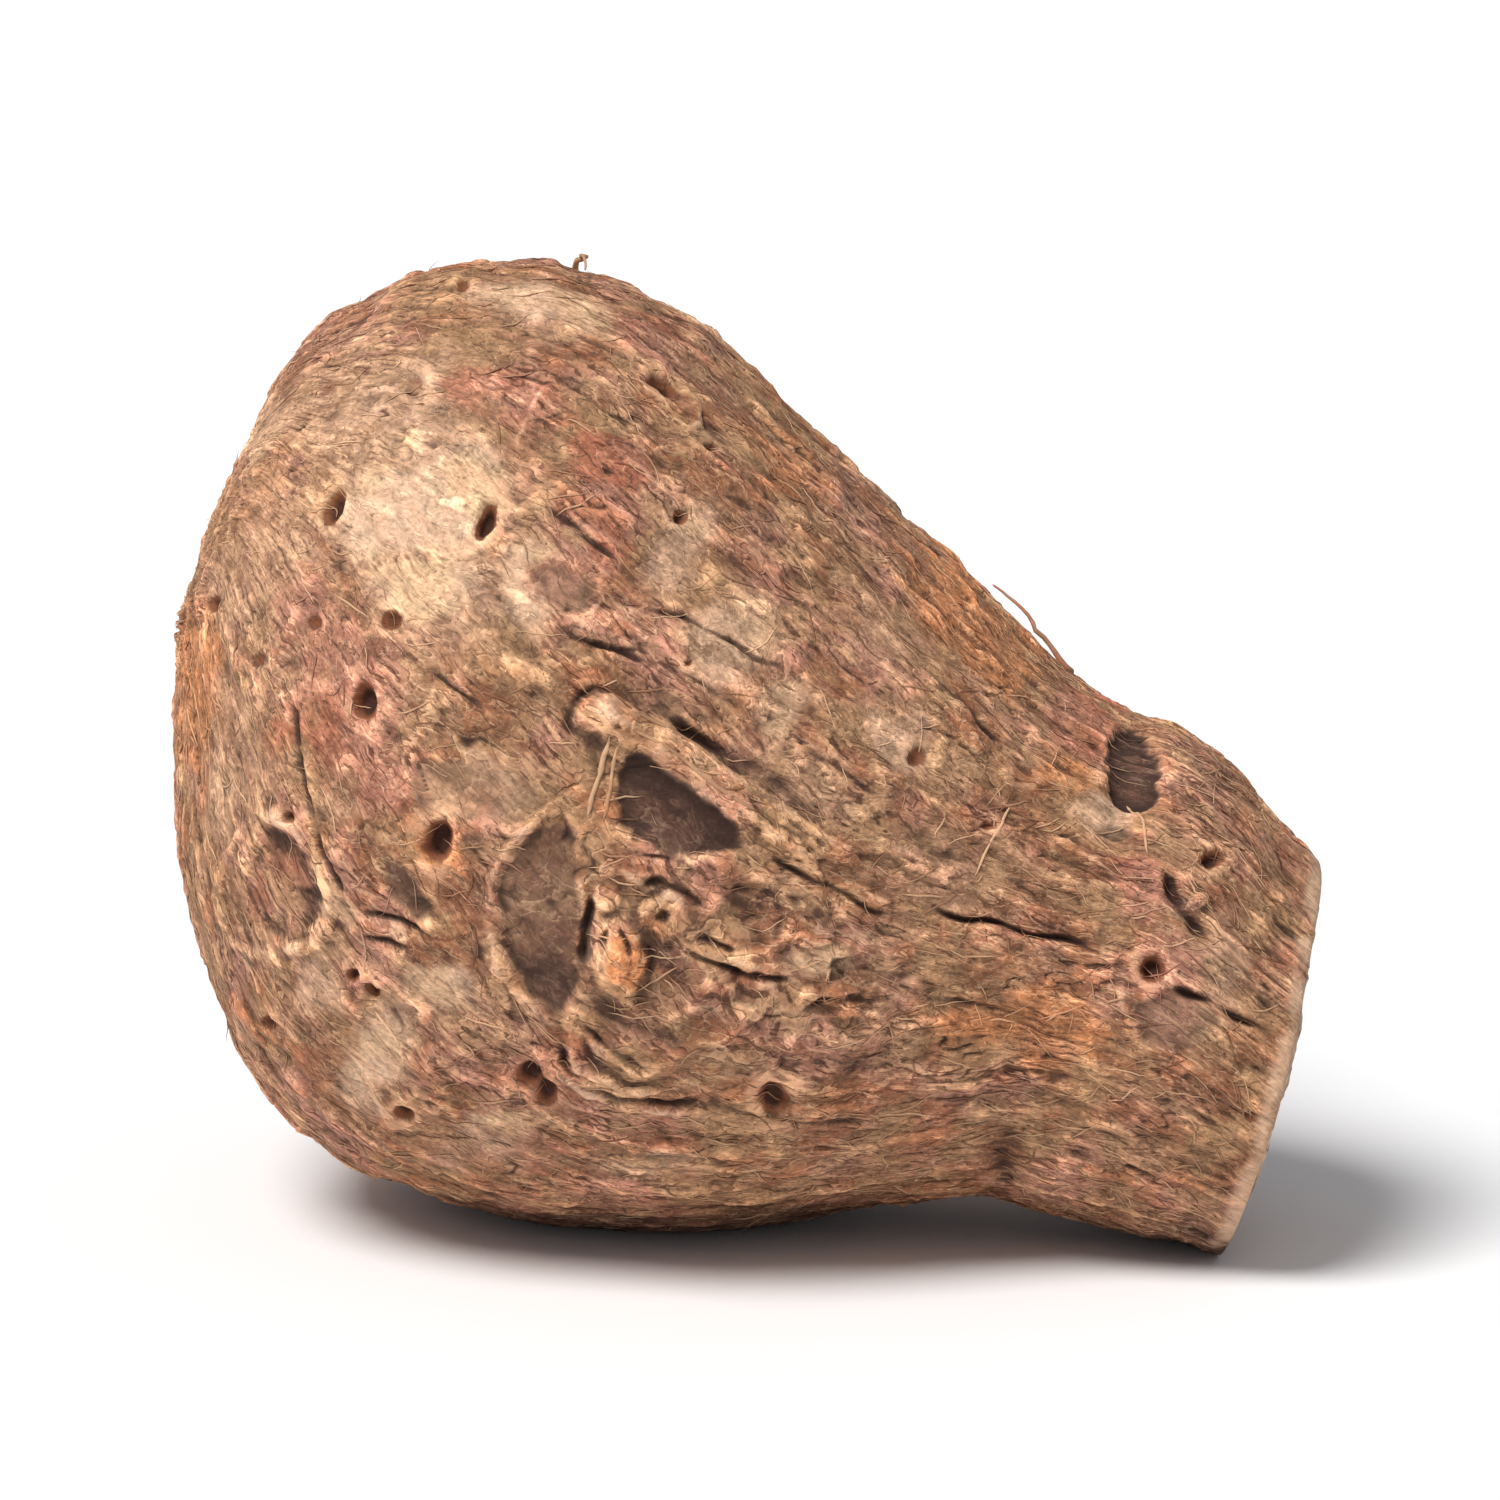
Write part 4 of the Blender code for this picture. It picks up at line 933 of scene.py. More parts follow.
def sheets():
    """Thin sheets of cork that overlap: levels of a drawn-out noise, each with a sharp edge at its end."""
    height = blank()
    for number, (length, width, levels, tall) in enumerate(SHEETS):
        field = levels * (along_grain(length, width, 8.1 + 3.7 * number) + 0.35 * skin_noise(1.9, 1.5))
        level = np.floor(field)
        height += tall * (level + smoothstep(0.0, SHEET_RISE, field - level) - SHEET_FALL * (field - level))
    return height


def slits():
    """Short splits along the corm: thin lines where a drawn-out noise passes zero, kept only in places."""
    line = bell(along_grain(4.5, 1.5, 6.1), 0.045)
    kept = smoothstep(0.18, 0.40, along_grain(3.6, 2.4, 9.4))
    return line * kept


cork = cork_left()


def left_on_bare(share):
    """1 on cork, and this share where it has peeled."""
    return share + (1.0 - share) * cork


slit = slits() * smoothstep(0.04, 0.1, skin.share)
crumbs = sum(tall * skin_noise(spacing, 2.4) for spacing, tall in CRUMBS)
fine = (fibre_ridges() + sheets()) * left_on_bare(FINE_ON_BARE) + crumbs * left_on_bare(CRUMBS_ON_BARE)
fine += CORK_STEP * (cork - 0.5) - SLIT_DEPTH * slit
fine = fine * (1.0 - FINE_CALMED * smooth) * (1.0 - FINE_CALMED * np.maximum(bare, red))
print("cork covers", round(float(cork.mean()) * 100.0), "% of the grid")

# %% [markdown]
# A root scar is not a clean dimple. Its rim is a torn collar of cork, so noise bends its edge, and the
# strands that ran into the root stand up in the pit as a small nub.

# %% Scars in detail, and all heights together
SCAR_RAGGED = 0.22  # how far noise bends a scar's edge, as a share of its size
SCAR_NUB = 0.35  # the height of the nub in a pit, as a share of the pit's depth
FINE_FROM = 0.25  # the height above the ground from which the fine relief fades in
RINGS_LEFT = (0.8, 0.2)  # how much of the rings the brush has left, on the hidden sides and on the front
WRINKLES_LEFT = 0.6  # and how much of the wrinkles
CUT_LIP = 0.2  # how far the skin's edge stands out at the cut
REST_CUT = 0.55  # the belly is cut flat this far up, where it rests
BACK_SHIFT = 0.36  # moves the finished skin back into the solid's box


def scar_places():
    """Of each root scar, where every point lies in its oval, its depth and its rim's height."""
    for *oval, depth, rim in FRONT_SCARS:
        yield *skin.seen_place(*oval), depth, rim
    for centre, half_length, half_width, lean_degrees, depth, rim in root_scars[len(FRONT_SCARS) :]:
        wide, high = leaning(*skin.from_spot(centre), lean_degrees)
        yield wide / half_length, high / half_width, depth, rim


def root_scar_relief():
    """The height of the scars, and how much of a pit and of a rim each point has, from 0 to 1."""
    height, pit, rims = (blank() for _ in range(3))
    ragged = 1.0 + SCAR_RAGGED * skin_noise(1.1, 5.5)
    uneven = 0.6 + 0.8 * skin_noise(2.2, 7.9)
    for wide, high, depth, rim in scar_places():
        reach = np.hypot(wide, high) * ragged
        edge = bell(reach - 1.5, 0.5)
        hole = 1.0 - smoothstep(0.4, 1.2, reach)
        nub = SCAR_NUB * depth * (1.0 - smoothstep(0.0, 0.6, np.hypot(wide - 0.3, high + 0.3)))
        height += rim * edge * uneven - depth * hole + nub
        pit = np.maximum(pit, hole * min(1.0, 1.4 * depth))
        rims = np.maximum(rims, edge * np.clip(uneven, 0.0, 1.0) * min(1.0, 5.0 * rim))
    return height, pit, rims


scar_height, scar_pit, scar_rim = root_scar_relief()
rings = rings * (RINGS_LEFT[0] + (RINGS_LEFT[1] - RINGS_LEFT[0]) * on_front)
folded = folded * WRINKLES_LEFT
main_relief = rings + folded + scar_height + patch_height + knob_height + eye_height + bud_height
main_relief += crack_height + ridge_height + plate_height + collar_height
z_of_loft = skin.points[..., 2]
away_from_rest = smoothstep(0.3, REST_SMOOTH, z_of_loft)
off_crown = smoothstep(0.0, 0.03, skin.share)
short_of_cut = 1.0 - smoothstep(0.97, 1.0, skin.share)
lip = CUT_LIP * smoothstep(0.975, 0.995, skin.share)
main_relief = main_relief * away_from_rest * off_crown * short_of_cut + lip + lumped * away_from_rest
up_to_rim = 1.0 - smoothstep(0.985, 1.0, skin.share)
fine = fine * smoothstep(FINE_FROM, 3.0 * FINE_FROM, z_of_loft - REST_CUT) * off_crown * up_to_rim

body = skin.points + skin.normals * (main_relief + fine)[..., None] + (0.0, BACK_SHIFT, -REST_CUT)
body[..., 2] = np.maximum(body[..., 2], 0.0)
print("size of the skin in mm", np.ptp(body.reshape(-1, 3), axis=0).round(1))

# %% [markdown]
# The hollows are darkened towards a soil colour, partly soil and partly painted shade, and rubbing
# brightens what stands proud. Both follow from one measure: the relief less its own blurred copy, which is
# below zero in a hollow and above it on a ridge. A Fourier transform blurs the whole grid at once.

# %% Hollows and ridges
HOLLOW_BLUR = 1.6  # in mm
EDGE_BLUR = 0.55


def blurred(grid, width):
    """The grid blurred over this width in mm. It closes round the corm and is mirrored at its ends."""
    mirrored = np.vstack([grid, grid[::-1]])
    per_row = SKIN_LENGTH / (ROWS - 1)
    per_column = 2.0 * math.pi * GIRTH / COLUMNS
    down = np.fft.fftfreq(len(mirrored))[:, None] * width / per_row
    across = np.fft.fftfreq(COLUMNS)[None, :] * width / per_column
    soft = np.exp(-2.0 * (math.pi**2) * (down**2 + across**2))
    return np.fft.ifft2(np.fft.fft2(mirrored) * soft).real[: len(grid)]


relief = main_relief + fine
ridge = relief - blurred(relief, HOLLOW_BLUR)
edge = relief - blurred(relief, EDGE_BLUR)
print("ridges and hollows from", round(float(ridge.min()), 2), "to", round(float(ridge.max()), 2), "mm")

# %% [markdown]
# The neck ends in the cut that parted the corm from its mother plant. Only its rim shows from the front. A
# dried cut is slightly domed, has rings and fine radial cracks, and shows the ends of its root strands as
# rough dots.

# %% The cut face
CUT_ROWS = 60
CUT_BULGE = 1.3
CUT_ROUGHNESS = ((6.0, 0.45), (2.4, 0.18))
CUT_FINE = ((0.9, 0.08), (0.45, 0.05))
STRAND_ENDS = 170
STRAND_RADIUS = 0.30
STRAND_HEIGHT = 0.10
STRAND_RINGS = (0.84, 0.62)  # shares of the way to the rim at which many strands stand in a ring
CUT_CRACKS = 9
CUT_CRACK_HALF_WIDTH = 0.28
CUT_CRACK_DEPTH = 0.35
CUT_CRACK_WANDER = 0.8
FLESH_RINGS, FLESH_RING_HEIGHT = 7.0, 0.07
BARK_WIDTH = 1.5  # the cut shows the bark as a ring this wide, with a shrunk groove inside it
BARK_GROOVE, BARK_GROOVE_HALF_WIDTH = 0.22, 0.22


def cut_face(rim):
    """Rows from inside the rim inwards, each point's dot, crack, bark and reach, and the middle."""
    middle = rim.mean(axis=0)
    normal = np.cross(rim[0] - middle, rim[len(rim) // 4] - middle)
    normal *= np.sign(normal[0]) / np.linalg.norm(normal)
    reach = (1.0 - (np.arange(1, CUT_ROWS) / CUT_ROWS))[:, None]
    flat = middle + (rim - middle) * reach[..., None]
    inset = smoothstep(0.0, 0.08, 1.0 - reach)
    uneven = sum(height * noise_at(flat, spacing, 8.3) for spacing, height in CUT_ROUGHNESS)
    uneven = uneven + sum(height * noise_at(flat, spacing, 3.8) for spacing, height in CUT_FINE)
    draw = random.Random(SEED + 2)
    dots, split = np.zeros(uneven.shape), np.zeros(uneven.shape)
    for _ in range(STRAND_ENDS):
        column = draw.randrange(len(rim))
        place = middle + (rim[column] - middle) * draw.choice((*STRAND_RINGS, draw.uniform(0.1, 0.9)))
        away = np.linalg.norm(flat - place, axis=2) / (STRAND_RADIUS * draw.uniform(0.7, 1.3))
        dots = np.maximum(dots, bell(away, 1.0))
    angle = np.arange(len(rim)) / len(rim) * 2.0 * math.pi
    for number in range(CUT_CRACKS):
        aim = (number + draw.uniform(-0.3, 0.3)) / CUT_CRACKS * 2.0 * math.pi
        start = draw.uniform(0.25, 0.6)
        wander = CUT_CRACK_WANDER * noise_at(flat, 3.0, 1.1 * number)
        aside = np.abs(np.sin((angle - aim) / 2.0)) * 2.0 * reach * np.linalg.norm(rim - middle, axis=1)
        open_here = smoothstep(start, start + 0.25, reach) * (1.0 - smoothstep(0.86, 0.98, reach))
        split = np.maximum(split, bell(aside + wander, CUT_CRACK_HALF_WIDTH) * open_here)
    ring_number = reach * FLESH_RINGS + 0.6 * noise_at(flat, 6.0, 2.0)
    rings_in = FLESH_RING_HEIGHT * np.cos(2.0 * math.pi * ring_number)
    bark = (1.0 - reach) * np.linalg.norm(rim - middle, axis=1) + 0.25 * noise_at(flat, 2.0, 5.1) - BARK_WIDTH
    bark = bark + 0.7 * noise_at(flat, 6.5, 3.3)
    rings_in = rings_in - BARK_GROOVE * bell(bark, BARK_GROOVE_HALF_WIDTH)
    bulge = CUT_BULGE * (1.0 - reach**2) - 0.5 * CUT_LIP * inset
    bulge = bulge + (uneven + rings_in + STRAND_HEIGHT * dots - CUT_CRACK_DEPTH * split) * inset
    points = flat + normal * bulge[..., None]
    return points, dots, split, bark, np.broadcast_to(reach, uneven.shape), points[-1].mean(axis=0)


cut_points, cut_dots, cut_split, cut_bark, cut_reach, cut_middle = cut_face(body[-1])
cut_points[..., 2] = np.maximum(cut_points[..., 2], 0.0)
print("the cut is", round(float(np.ptp(body[-1][:, 2])), 1), "mm high")

# %% [markdown]
# Now the grid becomes a mesh. Every mask that the material needs goes in as an attribute of the points, so
# colour and form come from the same numbers and can't drift apart. The full grid has about 1.16 million
# triangles. A Decimate modifier then keeps them where the skin is rough and drops them where it is smooth.

# %% The mesh of the corm
KEPT_TRIANGLES = 197000


def linked(name, data):
    """A new object in the scene with this mesh, light or camera."""
    made = bpy.data.objects.new(name, data)
    bpy.context.scene.collection.objects.link(made)
    return made


def mesh_of(name, points, faces, size):
    """A mesh from arrays: points in millimetres, and faces of one size as rows of point numbers."""
    mesh = bpy.data.meshes.new(name)
    mesh.vertices.add(len(points))
    mesh.vertices.foreach_set("co", (points * MM).astype(np.float32).ravel())
    mesh.loops.add(faces.size)
    mesh.loops.foreach_set("vertex_index", faces.astype(np.int32).ravel())
    mesh.polygons.add(len(faces))
    mesh.polygons.foreach_set("loop_start", np.arange(0, faces.size, size, dtype=np.int32))
    mesh.update(calc_edges=True)
    mesh.shade_smooth()
    return mesh


def give(mesh, name, values):
    """Stores numbers, or vectors, on the points of a mesh under a name that a material can read."""
    if values.ndim == 1:
        mesh.attributes.new(name, "FLOAT", "POINT").data.foreach_set("value", values.astype(np.float32))
    else:
        made = mesh.attributes.new(name, "FLOAT_VECTOR", "POINT")
        made.data.foreach_set("vector", values.astype(np.float32).ravel())


def closed_grid(crown, rows, middle):
    """The points of a closed surface: one at the crown, then the rows, then one in the middle of the cut."""
    return np.concatenate([crown[None], rows.reshape(-1, *rows.shape[2:]), middle[None]])


def grid_faces(rows, columns):
    """Triangles of the closed surface, each cell split along its first diagonal."""
    row, column = np.meshgrid(np.arange(rows - 1), np.arange(columns), indexing="ij")
    here = 1 + row * columns + column
    beside = 1 + row * columns + (column + 1) % columns
    cells = np.stack([here, here + columns, beside + columns, here, beside + columns, beside], axis=-1)
    around = np.arange(columns)
    following = (around + 1) % columns
    first = np.stack([np.zeros(columns, int), 1 + around, 1 + following], axis=-1)
    end = 1 + (rows - 1) * columns
    last = np.stack([end + around, np.full(columns, end + columns), end + following], axis=-1)
    return np.concatenate([first, cells.reshape(-1, 3), last])


def with_cut(skin_values, cut_values):
    """A mask over the whole closed surface, from its values on the skin and on the cut."""
    rows = np.concatenate([skin_values[1:], np.broadcast_to(cut_values, cut_reach.shape)])
    return closed_grid(skin_values[0].mean(), rows, rows[-1].mean())


def grain_vectors():
    """Where each point lies in the grain: how far along, and its place round an evenly thick corm."""
    on_skin = wrapped(from_crown, widening, fine_flow)
    on_cut = wrapped(SKIN_LENGTH + GIRTH * (1.0 - cut_reach), GIRTH * cut_reach, skin.turn[None, :])
    rows = np.concatenate([on_skin[1:], on_cut])
    return closed_grid(on_skin[0].mean(axis=0), rows, rows[-1].mean(axis=0))


body_rows = np.concatenate([body[1:], cut_points])
body_points = closed_grid(body[0].mean(axis=0), body_rows, cut_middle)
corm = linked("corm_body", mesh_of("corm_body", body_points, grid_faces(len(body_rows), COLUMNS), 3))
cut_edge = smoothstep(0.982, 0.996, skin.share) * smoothstep(-0.6, 0.2, skin_noise(3.0, 1.6))
off_cut = {**tints, "smooth": smooth, "ridge": ridge, "edge": edge}
skin_masks = {name: with_cut(mask, 0.0) for name, mask in off_cut.items()}
skin_masks |= {
    "scar_pit": with_cut(scar_pit * short_of_cut, 0.0),
    "scar_rim": with_cut(scar_rim * short_of_cut, cut_dots),
    "crack": with_cut(np.maximum(crack_inside, 0.8 * slit), cut_split),
    "pale_line": with_cut(np.maximum(on_ridge * short_of_cut, cut_edge), 0.0),
    "cut": with_cut(blank(), smoothstep(0.0, 0.04, 1.0 - cut_reach)),
    "bark": with_cut(np.full(skin.share.shape, -BARK_WIDTH), cut_bark),
}
for name, values in skin_masks.items():
    give(corm.data, name, values)
give(corm.data, "grain", grain_vectors())

thin = corm.modifiers.new("thin_where_smooth", "DECIMATE")
thin.ratio = KEPT_TRIANGLES / len(corm.data.polygons)
thin.use_collapse_triangulate = True
graph = bpy.context.evaluated_depsgraph_get()
thinned = bpy.data.meshes.new_from_object(corm.evaluated_get(graph), depsgraph=graph)
corm.modifiers.clear()
corm.data = thinned
corm.data.name = "corm_body"
corm.data.shade_smooth()
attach(corm, "root")
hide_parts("corm")
print("the corm keeps", len(corm.data.polygons), "triangles and", len(corm.data.attributes), "attributes")

# %% [markdown]
# A corm is wrapped in threads: the fibres of old leaf sheaths lie flat on it, a few whiskers stand up from
# them, and dried rootlets hang on where the brush didn't reach. Hair curves would draw them, but they
# vanish in other programs, so each thread is a thin closed tube. A thread crawls over the finished skin: it
# follows the grain, a little aslant, and takes its height and its direction from the points below it.

# %% Paths over the skin
THREAD_BEND = 0.5  # how far a thread turns off its way along its length, in radians, as a usual amount
THREAD_UNREST = 0.12  # and how far at each step
body_normals = outward(body)
grain_on_skin = wrapped(from_crown, GIRTH, fine_flow)
row_length = SKIN_LENGTH / (ROWS - 1)
column_width = np.linalg.norm(np.roll(body, -1, axis=1) - body, axis=2).mean(axis=1)


def sampled(grid, rows, columns):
    """The values of a grid at places between its points."""
    rows = np.clip(rows, 0.0, ROWS - 1.001)
    row, column = np.floor(rows).astype(int), np.floor(columns).astype(int)
    down, right = rows - row, columns - column
    if grid.ndim == 3:
        down, right = down[..., None], right[..., None]
    here, beside = column % COLUMNS, (column + 1) % COLUMNS
    upper = grid[row, here] * (1.0 - right) + grid[row, beside] * right
    lower = grid[row + 1, here] * (1.0 - right) + grid[row + 1, beside] * right
    return upper * (1.0 - down) + lower * down


def drift_of_grain():
    """How many columns the grain moves aside from one row to the next."""
    bend = fine_flow - skin.turn
    aside = (np.roll(bend, -1, axis=1) - np.roll(bend, 1, axis=1)) / 2.0
    return -np.gradient(bend, axis=0) / (2.0 * math.pi / COLUMNS + aside)


grain_drift = drift_of_grain()


def crawled(rows, columns, slants, lengths, count, draw):
    """Paths of count points from these places of the grid, each with its own slant from the grain."""
    rows, columns = rows.astype(float), columns.astype(float)
    bends = draw.normal(size=rows.shape) * THREAD_BEND
    path = []
    for number in range(count):
        path.append((rows, columns))
        unrest = draw.normal(size=rows.shape) * THREAD_UNREST
        way = slants + bends * math.sin(3.0 * number / count) + unrest
        step_down = np.cos(way) * lengths / (count - 1) / row_length
        step_aside = np.sin(way) * lengths / (count - 1) / np.interp(rows, np.arange(ROWS), column_width)
        columns = columns + step_aside + sampled(grain_drift, rows, columns) * step_down
        rows = np.clip(rows + step_down, 2.0, ROWS - 2.0)
    return np.array([place[0] for place in path]).T, np.array([place[1] for place in path]).T


print("a step in the grid is", round(row_length, 2), "by", round(float(column_width.max()), 2), "mm")

# %% [markdown]
# The tubes of one kind are made all at once. Each ring of a tube stands across its path, flattened towards
# the skin, and both ends are closed by a point. Besides the masks of the skin under it, each thread has a
# tone of its own.

# %% Tubes from paths
TIP_SHARE = 0.3  # the length of a thread's pointed end, as a share of a step of its path
PATH_CLEARANCE = 0.06  # how far above the ground a thread's path stays, past its own thickness
TUBE_CLEARANCE = 0.03  # and its tube
THIN_END = 0.08  # the share of its thickness that a tapered thread has at its ends


def tube_points(path, normals, half_widths, half_heights, sides):
    """Rings of points round each path, then the two end points of each."""
    along = np.gradient(path, axis=1)
    aside = np.cross(normals, along)
    aside /= np.maximum(np.linalg.norm(aside, axis=2, keepdims=True), 1e-9)
    angle = 2.0 * math.pi * np.arange(sides) / sides
    wide = half_widths[..., None, None] * np.cos(angle)[:, None] * aside[:, :, None, :]
    high = half_heights[..., None, None] * np.sin(angle)[:, None] * normals[:, :, None, :]
    rings = path[:, :, None, :] + wide + high
    ends = np.stack([path[:, 0] - TIP_SHARE * along[:, 0], path[:, -1] + TIP_SHARE * along[:, -1]], axis=1)
    return np.concatenate([rings.reshape(len(path), -1, 3), ends], axis=1)


def tube_faces(tubes, rings, sides):
    """Triangles of closed tubes whose points are in the order of tube_points."""
    ring, side = np.meshgrid(np.arange(rings - 1), np.arange(sides), indexing="ij")
    here = ring * sides + side
    beside = ring * sides + (side + 1) % sides
    walls = np.stack([here, beside, beside + sides, here, beside + sides, here + sides], axis=-1)
    side = np.arange(sides)
    following = (side + 1) % sides
    first = np.stack([np.full(sides, rings * sides), following, side], axis=-1)
    far = (rings - 1) * sides
    last = np.stack([np.full(sides, rings * sides + 1), far + side, far + following], axis=-1)
    one = np.concatenate([walls.reshape(-1, 3), first, last])
    starts = np.arange(tubes) * (rings * sides + 2)
    return (one[None] + starts[:, None, None]).reshape(-1, 3)


def thread_piece(name, rows, columns, lift, half_widths, half_heights, tones, sides=4):
    """One piece of many threads over places of the grid. lift is how far each point lies above the skin."""
    normals = sampled(body_normals, rows, columns)
    path = sampled(body, rows, columns) + normals * lift[..., None]
    path[..., 2] = np.maximum(path[..., 2], half_heights + PATH_CLEARANCE)
    points = tube_points(path, normals, half_widths, half_heights, sides)
    points[..., 2] = np.maximum(points[..., 2], TUBE_CLEARANCE)
    each = points.shape[1]
    made = linked(name, mesh_of(name, points.reshape(-1, 3), tube_faces(len(path), path.shape[1], sides), 3))
    middle = path.shape[1] // 2
    for mask, grid in tints.items():
        give(made.data, mask, np.repeat(sampled(grid, rows[:, middle], columns[:, middle]), each))
    grain = np.repeat(sampled(grain_on_skin, rows, columns), sides, axis=1)
    grain = np.concatenate([grain, grain[:, :1], grain[:, -1:]], axis=1)
    give(made.data, "grain", grain.reshape(-1, 3))
    give(made.data, "tone", np.repeat(tones, each))
    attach(made, "root")
    print(name, "has", len(path), "threads and", len(made.data.polygons), "triangles")
    return made


def taper(count, power):
    """Shares of the full thickness along a thread: full in its middle and thin at both ends."""
    along = np.linspace(-1.0, 1.0, count)
    return (1.0 - np.abs(along) ** power) * (1.0 - THIN_END) + THIN_END


# %% [markdown]
# The fibres lie flat all over the skin and are thickest towards the neck. Whiskers are the loose ends of
# fibres: they leave the skin at one end. Both are drawn with a seed.

# %% Fibres and whiskers
FIBRES = 3300
FIBRE_POINTS = 7
FIBRE_LENGTHS = (1.0, 4.2)
FIBRE_HALF_WIDTHS = (0.035, 0.085)
FIBRE_SLANT = 0.38  # the usual angle between a fibre and the grain, in radians
FIBRE_FLATNESS = 0.55
WHISKERS = 240
WHISKER_POINTS = 6
WHISKER_LENGTHS = (0.8, 3.2)
WHISKER_HALF_WIDTHS = (0.028, 0.06)
WHISKER_RISES = (0.05, 0.45)  # how far its tip stands off the skin, as a share of its length


def fibres():
    """Short fibres that lie flat on the cork, with their ends sunk in it."""
    draw = np.random.RandomState(SEED + 3)
    rows = (0.06 + 0.90 * draw.uniform(size=2 * FIBRES) ** 0.8) * ROWS
    columns = draw.uniform(0, COLUMNS, 2 * FIBRES)
    on_cork = sampled(np.maximum(bare, smooth), rows, columns) < draw.uniform(0.0, 1.0, 2 * FIBRES)
    rows, columns = rows[on_cork][:FIBRES], columns[on_cork][:FIBRES]
    slants = draw.normal(size=FIBRES) * FIBRE_SLANT
    lengths = draw.uniform(*FIBRE_LENGTHS, FIBRES)
    rows, columns = crawled(rows, columns, slants, lengths, FIBRE_POINTS, draw)
    width = draw.uniform(*FIBRE_HALF_WIDTHS, FIBRES)[:, None] * taper(FIBRE_POINTS, 3)
    height = FIBRE_FLATNESS * width
    lift = 0.4 * height + 0.05 * draw.uniform(size=rows.shape)
    return thread_piece("corm_fibres", rows, columns, lift, width, height, draw.uniform(0.1, 0.9, FIBRES))


def whiskers():
    """Loose ends of fibres that lift off the skin, in any direction."""
    draw = np.random.RandomState(SEED + 4)
    rows = draw.uniform(0.05, 0.97, WHISKERS) * ROWS
    columns = draw.uniform(0, COLUMNS, WHISKERS)
    slants = draw.uniform(-math.pi, math.pi, WHISKERS)
    lengths = draw.uniform(*WHISKER_LENGTHS, WHISKERS)
    rows, columns = crawled(rows, columns, slants, lengths, WHISKER_POINTS, draw)
    along = np.linspace(0.0, 1.0, WHISKER_POINTS)
    width = draw.uniform(*WHISKER_HALF_WIDTHS, WHISKERS)[:, None] * (1.1 - along)
    rise = draw.uniform(*WHISKER_RISES, WHISKERS)[:, None] * lengths[:, None]
    lift = rise * along**1.6
    tones = 0.35 + 0.65 * draw.uniform(size=WHISKERS)
    return thread_piece("corm_whiskers", rows, columns, lift, width, width, tones)


threads = [fibres(), whiskers()]

# %% [markdown]
# Dried rootlets are left on the back, the top and the underside, where nothing rubbed them off: thicker,
# dark, and curled away from the skin. The strands that can be told apart on the front were measured like
# the marks: the broken end of a root with its bundle, and a few pale strands that cross the folds.

# %% Rootlets and the strands of the front
ROOTLETS = 34
ROOTLET_POINTS = 14
ROOTLET_LENGTHS = (4.0, 11.0)
ROOTLET_HALF_WIDTHS = (0.10, 0.24)
ROOTLET_LIFTS = (0.1, 1.6)
FRONT_STRANDS = (  # half width, lift as a share of it, tone, then the points that it runs through
    (0.16, 0.2, 0.75, ((-9.3, 33.2), (-10.0, 30.4), (-10.9, 27.7))),
    (0.13, 0.2, 0.65, ((-8.8, 32.6), (-9.3, 29.4), (-9.7, 27.3))),
    (0.14, 0.1, 0.6, ((-8.4, 33.9), (-5.4, 32.3), (-2.0, 29.6), (1.8, 27.0))),
    (0.12, 0.1, 0.5, ((-8.0, 35.0), (-4.4, 33.1), (-1.0, 30.9))),
    (0.10, 0.4, 0.95, ((18.6, 28.7), (17.3, 26.2), (16.1, 23.4))),
    (0.09, 0.4, 1.0, ((-25.6, 14.2), (-24.6, 12.9), (-23.9, 11.6))),
    (0.10, 0.4, 0.9, ((-26.6, 9.8), (-25.4, 8.2), (-24.3, 6.6))),
    (0.10, 0.4, 0.85, ((26.6, 28.9), (27.6, 27.0), (27.8, 24.9))),
    (0.09, 0.4, 0.8, ((30.5, 23.4), (31.2, 22.0), (32.4, 21.0))),
)
STRAND_POINTS = 13
EVENING = (0.25, 0.5, 0.25)  # shares of a point and its neighbours that even a strand's path out


def rootlets():
    """Thicker, curled threads on the sides that the front view doesn't show."""
    draw = np.random.RandomState(SEED + 5)
    rows, columns = [], []
    while len(rows) < ROOTLETS:
        row, column = draw.uniform(0.08, 0.95) * ROWS, draw.uniform(0, COLUMNS)
        point = sampled(body, np.array([row]), np.array([column]))[0]
        if sampled(skin.facing, np.array([row]), np.array([column]))[0] < 0.0 and point[2] > 2.0:
            rows.append(row)
            columns.append(column)
    slants = draw.uniform(-math.pi, math.pi, ROOTLETS)
    lengths = draw.uniform(*ROOTLET_LENGTHS, ROOTLETS)
    rows, columns = crawled(np.array(rows), np.array(columns), slants, lengths, ROOTLET_POINTS, draw)
    along = np.linspace(0.0, 1.0, ROOTLET_POINTS)
    width = draw.uniform(*ROOTLET_HALF_WIDTHS, ROOTLETS)[:, None] * (1.08 - 0.75 * along)
    height = draw.uniform(*ROOTLET_LIFTS, ROOTLETS)[:, None]
    lift = height * np.sin(math.pi * along * draw.uniform(0.5, 1.0, ROOTLETS)[:, None])
    tones = 0.7 * draw.uniform(size=ROOTLETS)
    return thread_piece("corm_rootlets", rows, columns, 0.3 * width + lift, width, width, tones, 6)


def seen_path(route, count):
    """Places of the grid along a line through points of the front."""
    route = np.array(route)
    along = np.concatenate([[0.0], np.cumsum(np.linalg.norm(np.diff(route, axis=0), axis=1))])
    wanted = np.linspace(0.0, along[-1], count)
    seen = zip(np.interp(wanted, along, route[:, 0]), np.interp(wanted, along, route[:, 1]))
    path = np.array([skin.seen_cell(across, up) for across, up in seen], dtype=float).T
    for places in path:
        places[1:-1] = np.convolve(places, EVENING, mode="valid")
    return path


